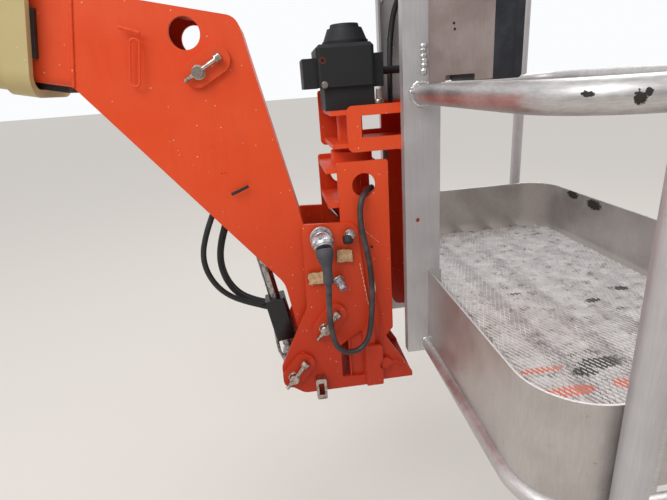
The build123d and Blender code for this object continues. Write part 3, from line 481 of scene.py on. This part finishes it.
def ring_round(form, place, distance, reaches):
    """A ring of vertices round the place's third axis, with the reach in mm of each."""
    ring = []
    for i, reach in enumerate(reaches):
        angle = math.tau * i / len(reaches)
        spot = Vector((reach * math.cos(angle), reach * math.sin(angle), distance))
        ring.append(form.verts.new(place @ (spot * MM)))
    return ring


def turned(form, profile, base, direction=OUTWARD, sides=32):
    """Adds a turned shape: rows of radius, distance along and, for a hexagon, 1."""
    place = Matrix.Translation(at(*base)) @ along(direction)
    rings = []
    for row in profile:
        radius, distance, hexed = (*row, 0)[:3]
        rings.append(ring_round(form, place, distance, [
            radius * (hexagon(math.tau * i / sides) if hexed else 1) for i in range(sides)
        ]))
    skin(form, rings)


def swept(form, points, radii, sides=12, squash=1.0, facing=OUTWARD):
    """Adds a round or flattened bar along points in mm, with one radius or one for each."""
    if not isinstance(radii, list):
        radii = [radii] * len(points)
    places = [at(*p) for p in points]
    rings = []
    for i, place in enumerate(places):
        before, after = places[max(i - 1, 0)], places[min(i + 1, len(places) - 1)]
        line = (after - before).normalized()
        across = line.cross(Vector(facing)).normalized()
        out = across.cross(line).normalized()
        rings.append([
            form.verts.new(place + (
                across * math.cos(a) + out * math.sin(a) * squash
            ) * radii[i] * MM)
            for a in (math.tau * k / sides for k in range(sides))
        ])
    skin(form, rings)


def piece(name, form, material, body, sharp=60, node=None):
    """A named piece, smooth below the sharp angle, in place of a CAD node if one is named."""
    data = bpy.data.meshes.new(name)
    bmesh.ops.recalc_face_normals(form, faces=form.faces)
    form.to_mesh(data)
    form.free()
    data.materials.append(material)
    data.shade_smooth()
    data.set_sharp_from_angle(angle=math.radians(sharp))
    made = linked(name, data)
    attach(made, body)
    if node:
        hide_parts(node)
    return made


def line_points(ends, step=1.6):
    """Places a step apart in mm along straight runs between the ends."""
    places = []
    for a, b in zip(ends, ends[1:]):
        count = max(2, round((Vector(b) - Vector(a)).length / step))
        places += [tuple(Vector(a).lerp(Vector(b), i / count)) for i in range(count)]
    return places + [ends[-1]]


def ring_points(centre, radius, first, second, step=1.6, start=0.0, end=360.0):
    """Places round part of a circle in the plane of two directions."""
    first, second = Vector(first), Vector(second)
    turn = math.radians(end - start)
    count = max(8, round(radius * turn / step))
    return [
        tuple(Vector(centre) + (first * math.cos(a) + second * math.sin(a)) * radius)
        for a in (math.radians(start) + turn * i / count for i in range(count + 1))
    ]


def weld(form, points, size, facing=OUTWARD, ripple=0.16, pitch=3.4):
    """A weld bead along points: overlapping ripples, wandering a little in width, narrow ends."""
    radii, travelled, last = [], 0.0, Vector(points[0])
    for point in points:
        travelled += (Vector(point) - last).length
        last = Vector(point)
        phase = travelled / pitch % 1.0
        crest = math.sqrt(1 - (phase - 0.5) ** 2 * 4 + 1e-9)
        wander = 1 + 0.10 * math.sin(travelled * 0.37) + 0.07 * math.sin(travelled * 1.13 + 1)
        radii.append(size * wander * (1 - ripple + ripple * crest))
    radii[0] *= 0.6
    radii[-1] *= 0.6
    swept(form, points, radii, sides=10, squash=0.6, facing=facing)


# Pins, each an x and a z: turned down and chamfered where they stand out of their bosses. Each
# side's half runs from its tip to its root, which lies at the middle where the pin is whole.
UPPER_PIN, PIVOT_PIN, LOWER_PIN = (-195, 575), (1, 7), (-82, -113)
PIN_RADIUS, PIN_TURNED = 13.5, 11.4
PIN_TIP = [(PIN_TURNED - 1, 0), (PIN_TURNED, 0.9), (PIN_TURNED, 15.0), (PIN_RADIUS, 15.3)]
for name, (x, z), tip, root, body, node in (
    ("upper_pin_stubs", UPPER_PIN, 94.5, 28.0, "boom_end", "upper_cylinder_pin"),
    ("pivot_pin_turned", PIVOT_PIN, 115.5, 0.0, "platform_support", "pivot_pin"),
    ("lower_pin_turned", LOWER_PIN, 115.5, 0.0, "platform_support", "lower_cylinder_pin"),
):
    form = bmesh.new()
    for side in (-1, 1):
        turned(form, PIN_TIP + [(PIN_RADIUS, tip - root)], (x, side * tip, z), (0, -side, 0), 40)
    piece(name, form, zinc, body, 30, node)

# Cross bolts through the near pin tips: thread, shank, washer and hexagon head
BOLT_TAIL = 31      # from the pin's middle to the thread's tip
BOLT_RADIUS, THREAD_ROOT = 4.5, 4.0
THREADS, THREAD_START, THREAD_PITCH = 9, 2.2, 1.5
BOLT = [(2.6, 0), (THREAD_ROOT, 1.4)]
for i in range(THREADS):
    crest = THREAD_START + i * THREAD_PITCH
    BOLT += [(BOLT_RADIUS, crest), (THREAD_ROOT, crest + THREAD_PITCH / 2)]
BOLT += [
    (BOLT_RADIUS, 16), (BOLT_RADIUS, 72.6), (10.2, 72.6), (10.2, 74.4), (8.2, 74.6, 1),
    (8.2, 82.4, 1), (7.8, 83.9), (0.1, 84.0),
]
for name, (x, z), y, angle, body, node in (
    ("upper_cross_bolt", UPPER_PIN, -88.6, 29, "boom_end", "upper_pin_bolt"),
    ("pivot_cross_bolt", PIVOT_PIN, -109.6, 50, "platform_support", "pivot_pin_bolt"),
    ("lower_cross_bolt", LOWER_PIN, -109.6, 50, "platform_support", "lower_cylinder_pin_bolt"),
):
    turn = math.radians(angle)
    direction = Vector((math.cos(turn), 0, math.sin(turn)))
    form = bmesh.new()
    turned(form, BOLT, tuple(Vector((x, y, z)) - direction * BOLT_TAIL), direction)
    piece(name, form, zinc, body, 28, node)

# Main plug: flange, knurled coupling ring, lip, and rubber boot over the cable
KNURLS, KNURL_DEPTH = 40, 1.5
PLUG_LINE = (0.06, -0.80, -0.60)
form = bmesh.new()
turned(form, [
    (23, 0), (25, 0.8), (25, 5.5), (23.6, 7), (20.5, 7.2), (20, 9), (20, 24), (18.5, 25.5),
], (10, EAR_FACE, 228), sides=40)
place = Matrix.Translation(at(10, -118, 228)) @ along(PLUG_LINE)
skin(form, [
    ring_round(form, place, distance, [
        radius - share * KNURL_DEPTH * (i % 2) for i in range(2 * KNURLS)
    ])
    for radius, distance, share in (
        (20.5, -2, 0), (22.8, -1, 0.5), (23.9, 1.5, 1), (23.9, 12.5, 1), (22.6, 14.5, 0.4),
        (21.4, 16, 0), (20.8, 19.5, 0), (19.2, 21, 0), (18.0, 23.5, 0), (15.0, 24, 0),
    )
], back=False)
piece("plug_coupling", form, cast, "platform_support", 30, "cable_connector")

# Boot: the four points of a Bezier line, and the radius at each share of its way
BOOT_LINE = (
    (11.4, -137.2, 213.6), (12.4, -152.5, 184.0), (16.5, -146.0, 160.0), (14, -141, 116),
)
BOOT_RADII = (
    (0.00, 18.0), (0.03, 19.0), (0.16, 18.6), (0.20, 17.0), (0.30, 13.8), (0.38, 11.9),
    (0.46, 10.9), (0.56, 10.4), (0.66, 10.6), (0.74, 11.4), (0.80, 11.3), (0.82, 9.6),
    (0.83, 6.6), (1.0, 6.6),
)
form = bmesh.new()
swept(form, [
    [
        a * (1 - share)**3 + b * 3 * (1 - share)**2 * share + c * 3 * (1 - share) * share**2
        + d * share**3
        for a, b, c, d in zip(*BOOT_LINE)
    ]
    for share, radius in BOOT_RADII
], [radius for share, radius in BOOT_RADII], sides=36, facing=X_AXIS)
piece("plug_boot", form, boot_rubber, "platform_support", 50, "connector_boot")

# Small receptacle with its bail and hanging black cap
form = bmesh.new()
turned(form, [(11.8, 0), (12, 0.6), (12, 3.4), (11, 4)], (72, EAR_FACE, 228))
turned(form, [(8.8, 0, 1), (8.8, 5, 1), (8.2, 6), (7.2, 6.4), (7.2, 12), (6, 13)],
       (72, -103, 228))
swept(form, [
    (62, -106, 233), (64, -112, 238), (70, -115, 240.5), (77, -114, 238), (81, -110, 233),
    (83, -104, 229),
], 1.5, sides=8)
piece("capped_receptacle", form, cast, "platform_support", 40,
      "capped_connector")
form = bmesh.new()
turned(form, [(9.8, 0), (10.8, 1), (11.2, 3), (11.4, 13), (10.6, 15.4), (8.6, 16.4)],
       (66.0, -107, 227), (0.02, -0.55, -0.84))
piece("receptacle_cap", form, rubber, "platform_support", 45)

# Ribbed hose fitting below the plug
RIBS, RIB_PITCH = 4, 3.4
rows = [(12, 0), (12.6, 0.8), (12.6, 3.6), (8.8, 4.2), (9.0, 6)]
for i in range(RIBS):
    rows += [(radius, distance + i * RIB_PITCH) for radius, distance in (
        (9.6, 6.4), (10.2, 7.2), (10.2, 8.4), (8.6, 9.2),
    )]
rows += [
    (7.4, 20.4), (7.4, 22.0), (8.8, 22.6), (8.8, 28.6), (7.6, 30.0), (5.0, 30.2), (5.0, 27.0),
]
form = bmesh.new()
turned(form, rows, (40, EAR_FACE, 128), (0.30, -0.75, -0.60))
piece("ribbed_hose_fitting", form, cast, "platform_support", 25, "hose_fitting")

# Worn paper labels, left blank, their corners lifted, on a rim of dirty glue
label_paper, label_tree, label_shader = finish_of("worn_paper_label", 0.7)
paper = mixed(
    label_tree, between(label_tree, grain(label_tree, 11), 0.4, 0.6), "#CBA87F", "#B98F6A",
)
fray = between(label_tree, grain(label_tree, 4.0, detail=4.0), 0.58, 0.7)
colour_to(label_tree, label_shader, mixed(label_tree, fray, paper, "#6F4A34"))


def sheet(name, material, outline, lifts):
    """A thin sheet on the ear's face, each corner in turn lifted by one of the lifts."""
    form = bmesh.new()
    skin(form, [
        [form.verts.new(at(x, EAR_FACE, z)) for x, z in outline],
        [form.verts.new(at(x, EAR_FACE - lifts[i % len(lifts)], z))
         for i, (x, z) in enumerate(outline)],
    ], back=False)
    piece(name, form, material, "platform_support", sharp=20)


GLUE_SPREAD = (1.05, 1.10)      # how much larger than the label the glue is, corner by corner
for place, corners in (
    ("upper", (
        (42.5, 195), (58, 195.6), (61, 193), (66, 194.6), (74, 191.8), (75.6, 178), (75, 164),
        (60, 166.8), (48, 165.6), (41, 167.4), (41.6, 180),
    )),
    ("lower", (
        (-25.5, 146.5), (-14, 149), (-4, 147.4), (6, 149), (12, 147.6), (11.5, 134), (10, 121.5),
        (-4, 119.6), (-16, 121.6), (-27, 120.4), (-24, 128), (-27.5, 137),
    )),
):
    sheet(f"blank_label_{place}", label_paper, corners, (0.7, 0.95, 1.2))
    middle = [sum(values) / len(corners) for values in zip(*corners)]
    sheet(f"blank_label_glue_{place}", label_glue, [
        [m + (c - m) * GLUE_SPREAD[i % 2] for c, m in zip(corner, middle)]
        for i, corner in enumerate(corners)
    ], (0.3,))

# Weld beads on the painted steel: the neck's oval plate, its ends and the support's plates
OVAL_HALF, OVAL_STEPS = 8.5, 40
form = bmesh.new()
top = Vector((-300, NECK_FACE, 631))
foot = Vector((-313, NECK_FACE, 566))
line = (top - foot).normalized()
across = Vector((line.z, 0, -line.x))
side = across * OVAL_HALF
oval = [tuple(foot - side + (top - foot) * i / OVAL_STEPS) for i in range(OVAL_STEPS + 1)]
oval += ring_points(top, OVAL_HALF, -across, line, end=180)[1:]
oval += [tuple(top + side + (foot - top) * i / OVAL_STEPS) for i in range(1, OVAL_STEPS + 1)]
oval += ring_points(foot, OVAL_HALF, across, -line, end=180)[1:]
weld(form, oval, 2.3, ripple=0.05, pitch=6)
weld(form, line_points([
    (-324, NECK_FACE, 661), (-300, NECK_FACE, 653), (-286, NECK_FACE, 648),
]), 3.2, ripple=0.08)
weld(form, line_points([(-394.5, -71, 726), (-429, -71, 563.5)]), 3.2, ripple=0.06)
piece("neck_weld_beads", form, orange, "boom_end")
form = bmesh.new()
for ends, size in (
    (((57, -88.5, -162), (57, -88.5, -20)), 2.5),
    (((134.5, -91.5, -160), (134.5, -91.5, -64)), 3.0),
    (((134.6, -91.5, -56), (134.6, -91.5, 30), (120, -91.5, 120)), 1.6),
):
    weld(form, line_points(ends), size)
weld(form, ring_points((166, -92, -132), 19, X_AXIS, Z_AXIS, start=-30, end=200), 2.0)
weld(form, line_points([(60, -60, 362), (150, -60, 362)]), 2.4, (0, 0, -1))
piece("support_weld_beads", form, orange, "platform_support")

# Dark slot and two dots on the neck, below its upper pin
form = bmesh.new()
swept(form, line_points([(-167, -82.8, 336), (-150, -82.8, 342), (-130, -82.8, 350)]), 3.3,
      squash=0.2)
for x, z in ((-179.5, 381.1), (-172.4, 381.4)):
    turned(form, [(1.3, 0), (1.1, 0.3), (0.1, 0.3)], (x, NECK_FACE, z), sides=12)
piece("neck_slot_mark", form, rubber, "boom_end")

# Welds on the aluminium, left bright: hanger posts, rails on them and the ring below
form = bmesh.new()
weld(form, line_points([(235, -115, 597), (233, -115, 580), (236, -115, 562), (234, -115, 541)]),
     7.0, ripple=0.55, pitch=9)
weld(form, ring_points((231.5, POST_FACE, 505), 22.5, X_AXIS, Z_AXIS, start=105, end=195), 6.0,
     ripple=0.45, pitch=7)
for height, start, end in ((505, 0, 360), (1075, 165, 375)):
    for y in (POST_FACE, -POST_FACE):
        circle = ring_points((231.5, y, height), 20.5, X_AXIS, Z_AXIS, start=start, end=end)
        weld(form, circle, 5.0, (0, y, 0), ripple=0.35, pitch=6)
for y in (POST_FACE, -POST_FACE):
    weld(form, ring_points((242.5, y, -57), 16.8, X_AXIS, Z_AXIS), 3.0, (0, y, 0), ripple=0.25)
weld(form, line_points([(245, -115.5, -38), (245, -115.5, 128)]), 2.4, ripple=0.25)
piece("platform_weld_beads", form, weld_metal, "platform")

# Toe board's top edge: a thin bright strip along it, a painted highlight
CORNER_RADIUS, EDGE_STEP = 98.5, 14
form = bmesh.new()
edge = [(243, 122, 130)]
edge += ring_points((341.5, 505, 130), CORNER_RADIUS, (-1, 0, 0), Y_AXIS, EDGE_STEP, 0, 90)
edge += ring_points((829, 505, 130), CORNER_RADIUS, Y_AXIS, X_AXIS, EDGE_STEP, 0, 90)
edge = line_points(edge + [(927.5, -500, 130)], EDGE_STEP)
swept(form, edge, [1.5 + 0.4 * math.sin(i * 1.9) for i in range(len(edge))], 8, facing=Z_AXIS)
piece("toe_board_worn_edge", form, weld_metal, "platform")

# Rotator drive's trim: cap screw, mounting stud and drain hole, its rim rusty and its dark middle
# painted shade
DRAIN_HOLE = (45, -62, 581)
form = bmesh.new()
turned(form, [(6.6, 0), (6.6, 1.0), (5.4, 1.2, 1), (5.4, 4.6, 1), (5.0, 5.6), (0.1, 5.8)],
       (46, -62, 535.5))
turned(form, [
    (9.5, 0, 1), (9.5, 7, 1), (9.0, 8), (5.2, 8.2), (5.2, 27), (4.2, 28.5), (0.1, 28.6),
], (158, -50, 492), Z_AXIS)
piece("drive_screws", form, zinc, "platform", 30)
rusty, rusty_tree, rusty_shader = finish_of("rusty_rim_and_hole_shade", 0.85)
# Painted shade: near black in the hole's middle, the rust colour on the rim round it
rust_and_hole_shade = patches(rusty_tree, ((DRAIN_HOLE, (4.2, 4, 4.2)),), 3.0, ragged=0.3)
colour_to(rusty_tree, rusty_shader, mixed(rusty_tree, rust_and_hole_shade, "#6A2A18", "#140A08"))
form = bmesh.new()
turned(form, [(6.4, 0), (6.0, 0.5), (4.4, 0.5), (4.2, 0.3), (0.1, 0.3)], DRAIN_HOLE)
piece("drive_drain_hole", form, rusty, "platform", 40)

# Two holes in the near cheek, drawn as dark discs of painted shade, and small fixings on the far
# hanger
form = bmesh.new()
for x, z in ((291.6, 627), (293.4, 617)):
    turned(form, [(2.6, 0), (2.3, 0.5), (0.1, 0.6)], (x, -119, z), sides=20)
piece("cheek_holes", form, rubber, "platform", 40)
form = bmesh.new()
for x, z in ((203, 700), (212, 624), (228, 604)):
    turned(form, [(3.4, 0), (3.2, 1.6), (1.6, 2.2), (0.1, 2.2)], (x, 90, z), sides=16)
piece("hanger_rivets", form, zinc, "platform", 40)

# Drive's shaft, carried on to the hanger
form = bmesh.new()
turned(form, [(8.0, 0), (8.0, 28), (7.0, 29), (0.1, 29)], (203, 0, 556), X_AXIS)
piece("drive_shaft_end", form, drive_black, "platform", 40)

# Support: bright brace rod inside, the foot plate's back edge and a small hole in the near plate,
# drawn as a dark disc of painted shade
form = bmesh.new()
turned(form, [(5.0, 0), (5.0, 110)], (38, -58, 282), (0.602, 0, -0.798), 20)
piece("support_brace_rod", form, chrome, "platform_support", 40)
form = bmesh.new()
bmesh.ops.create_cube(form, size=MM, matrix=Matrix.Translation(
    at(38.5, 0, -161)
) @ Matrix.Diagonal((37, 150, 8, 1)))
piece("support_foot_edge", form, orange, "platform_support", 40)
# Small hole: a dark disc of painted shade
form = bmesh.new()
turned(form, [(3.4, 0), (3.0, 0.3), (0.1, 0.3)], (121, TOWER_FACE, 191), sides=20)
piece("support_small_hole", form, rubber, "platform_support", 40)

# Chipped edges: primer and bare metal along the ear's and the tower's fronts
form = bmesh.new()
for ends, radius in (
    (((91, EAR_FACE, 158), (98, EAR_FACE, 108), (106, EAR_FACE, 54)), 0.9),
    (((117, -91.2, 146), (119, -91.2, 108)), 1.1),
    (((104, -91.1, 233), (138, -91.1, 200)), 0.5),
):
    route = line_points(ends, 4)
    radii = [radius * (0.55 + 0.45 * math.sin(i * 2.3)) for i in range(len(route))]
    swept(form, route, radii, 8, 0.3)
piece("support_scrapes", form, scrape, "platform_support")

# Steel pipe along the cylinder's back, from its block to its base
form = bmesh.new()
swept(form, line_points([
    (-118, -3, -30), (-117, -3, -60), (-114, -3, -95), (-104, -3, -122),
], 8), 4.0)
piece("cylinder_pipe", form, barrel_metal, "levelling_barrel")

# Seam of the document case
form = bmesh.new()
swept(form, line_points([(414, -119.2, 528), (414, -119.2, 748)], 20), 1.4, 8, 0.5)
piece("case_seam", form, rubber, "platform")

# Expanded-metal floor: one cell of crossed strands set out over the floor's plan, which has
# two ends in x, a half width in y and the radius of its corners
FLOOR_X = (246.2, 924.3)
FLOOR_Y = 600.4
FLOOR_CORNER = 92.0
CELL_X, CELL_Y = 10.95, 25.56
STRAND_WIDTH, STRAND_THICKNESS, STRAND_LEAN = 2.3, 1.3, 0.9
form = bmesh.new()
for sx in (-1, 1):
    for sy in (-1, 1):
        end = Vector((sx * CELL_X / 2, sy * CELL_Y / 2, 0.0))
        line = end.normalized()
        lean = Vector((-line.y, line.x, 0)) * (STRAND_WIDTH / 2)
        lean.z = STRAND_LEAN * sx
        skin(form, [
            [form.verts.new((place + lean * k + Vector((0, 0, level * STRAND_THICKNESS))) * MM)
             for k, level in ((-1, -0.5), (1, -0.5), (1, 0.5), (-1, 0.5))]
            for place in (Vector((0, 0, 0)), end)
        ], back=False, front=False)
cell_data = bpy.data.meshes.new("mesh_cell")
form.to_mesh(cell_data)
form.free()
cell = linked("mesh_cell", cell_data)

group = bpy.data.node_groups.new("expanded_floor", "GeometryNodeTree")
for label, kind in (
    ("Cell", "Object"), ("Length X", "Float"), ("Length Y", "Float"), ("Cells X", "Int"),
    ("Cells Y", "Int"), ("Corner", "Float"), ("Middle", "Vector"), ("Finish", "Material"),
):
    group.interface.new_socket(label, in_out="INPUT", socket_type="NodeSocket" + kind)
group.interface.new_socket("Geometry", in_out="OUTPUT", socket_type="NodeSocketGeometry")


def field(kind, inputs=None, prefix="GeometryNode", **settings):
    """Adds a node of the floor's tree and gives its first output."""
    return add(group, kind, inputs, prefix, **settings).outputs[0]


given = group.nodes.new("NodeGroupInput").outputs
grid = field("MeshGrid", {
    "Size X": given["Length X"], "Size Y": given["Length Y"],
    "Vertices X": given["Cells X"], "Vertices Y": given["Cells Y"],
})

# Cells beyond the floor's round corners are left out
spot = add(group, "SeparateXYZ", {0: field("InputPosition")}).outputs
overs = []
for axis in "XY":
    half = sums(group, "MULTIPLY", given["Length " + axis], 0.5)
    inner = sums(group, "SUBTRACT", half, given["Corner"])
    over = sums(group, "SUBTRACT", sums(group, "ABSOLUTE", spot[axis], 0.0), inner)
    overs.append(sums(group, "POWER", sums(group, "MAXIMUM", over, 0.0), 2.0))
away = sums(group, "POWER", sums(group, "ADD", *overs), 0.5)
outside = field(
    "Compare", {0: away, 1: given["Corner"]}, "FunctionNode", operation="GREATER_THAN",
)
kept = field("DeleteGeometry", {"Geometry": grid, "Selection": outside}, domain="POINT")
shape = add(group, "ObjectInfo", {"Object": given["Cell"], "As Instance": True}, "GeometryNode")
laid = field("InstanceOnPoints", {"Points": kept, "Instance": shape.outputs["Geometry"]})
solid = field("RealizeInstances", {"Geometry": laid})
moved = field("SetPosition", {"Geometry": solid, "Offset": given["Middle"]})
dressed = field("SetMaterial", {"Geometry": moved, "Material": given["Finish"]})
out = group.nodes.new("NodeGroupOutput")
group.links.new(dressed, out.inputs[0])

host = linked("floor_host", bpy.data.meshes.new("floor_host"))
modifier = host.modifiers.new("expanded_floor", "NODES")
modifier.node_group = group
cells_x = int((FLOOR_X[1] - FLOOR_X[0]) / CELL_X)
cells_y = int(2 * FLOOR_Y / CELL_Y)
values = {
    "Cell": cell, "Length X": (cells_x - 1) * CELL_X * MM, "Length Y": (cells_y - 1) * CELL_Y * MM,
    "Cells X": cells_x, "Cells Y": cells_y, "Corner": FLOOR_CORNER * MM,
    "Middle": at(sum(FLOOR_X) / 2, 0, MESH_LEVEL), "Finish": mesh_metal,
}
for item in group.interface.items_tree:
    if item.in_out == "INPUT":
        modifier[item.identifier] = values[item.name]
bpy.context.view_layer.update()
evaluated = host.evaluated_get(bpy.context.evaluated_depsgraph_get())
floor_data = bpy.data.meshes.new_from_object(evaluated)
floor_data.materials.clear()
floor_data.materials.append(mesh_metal)
bpy.data.objects.remove(host)
bpy.data.objects.remove(cell)
floor_mesh = linked("expanded_metal_floor", floor_data)
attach(floor_mesh, "platform")
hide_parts("platform_floor")

# Couplings at the hoses' far ends
COUPLING_SET_BACK = 14      # how far the coupling reaches back over the hose's end
for number, (hose, (length, route)) in enumerate(zip(hoses, HOSES), 1):
    end = Vector(route[-1])
    line = (end - Vector(route[-2])).normalized()
    form = bmesh.new()
    turned(form, [
        (7.6, 0), (8.0, 0.8), (8.0, 15), (7.0, 16), (8.4, 16.4, 1), (8.4, 25, 1), (7.4, 26),
    ], tuple(end - line * COUPLING_SET_BACK), line)
    crimp = piece(f"hose_{number}_coupling", form, zinc, "levelling_barrel", 30)

# Studio: pale floor, and surroundings that are white but greyer low down behind the camera
floor_paint, floor_tree, floor_shader = finish_of("studio_floor", 0.9)
floor_shader.inputs["Base Color"].default_value = linear("#CFC9C2")
bpy.ops.mesh.primitive_plane_add(size=80, location=(0.7, 20, -1.5))
ground = bpy.context.active_object
ground.name = "studio_floor"
ground.data.materials.append(floor_paint)

world = bpy.data.worlds.new("studio")
world.use_nodes = True
bpy.context.scene.world = world
sky = world.node_tree
background = next(n for n in sky.nodes if n.type == "BACKGROUND")
parts = add(sky, "SeparateXYZ", {0: add(sky, "TexCoord").outputs["Generated"]}).outputs
behind = between(sky, parts["Y"], 0.1, -0.5)
low = between(sky, parts["Z"], 0.45, 0.05)
shade = sums(sky, "MULTIPLY", behind, low)
sky.links.new(mixed(sky, shade, "#FBFCFE", "#85827B"), background.inputs["Color"])
background.inputs["Strength"].default_value = 1.0

# Soft lights: place, aim and size in metres, power in watts
for name, place, aim, size, energy in (
    ("key_light", (-1.2, -2.6, 2.6), (0.7, 0, -0.4), 2.6, 90),
    ("rim_light", (2.8, 1.6, 2.4), (0.8, 0, -0.3), 2.0, 40),
):
    lamp = linked(name, bpy.data.lights.new(name, "AREA"))
    lamp.data.shape = "DISK"
    lamp.data.size = size
    lamp.data.energy = energy
    lamp.location = place
    lamp.rotation_euler = (Vector(aim) - Vector(place)).to_track_quat("-Z", "Y").to_euler()

bpy.context.scene.view_settings.view_transform = "Standard"
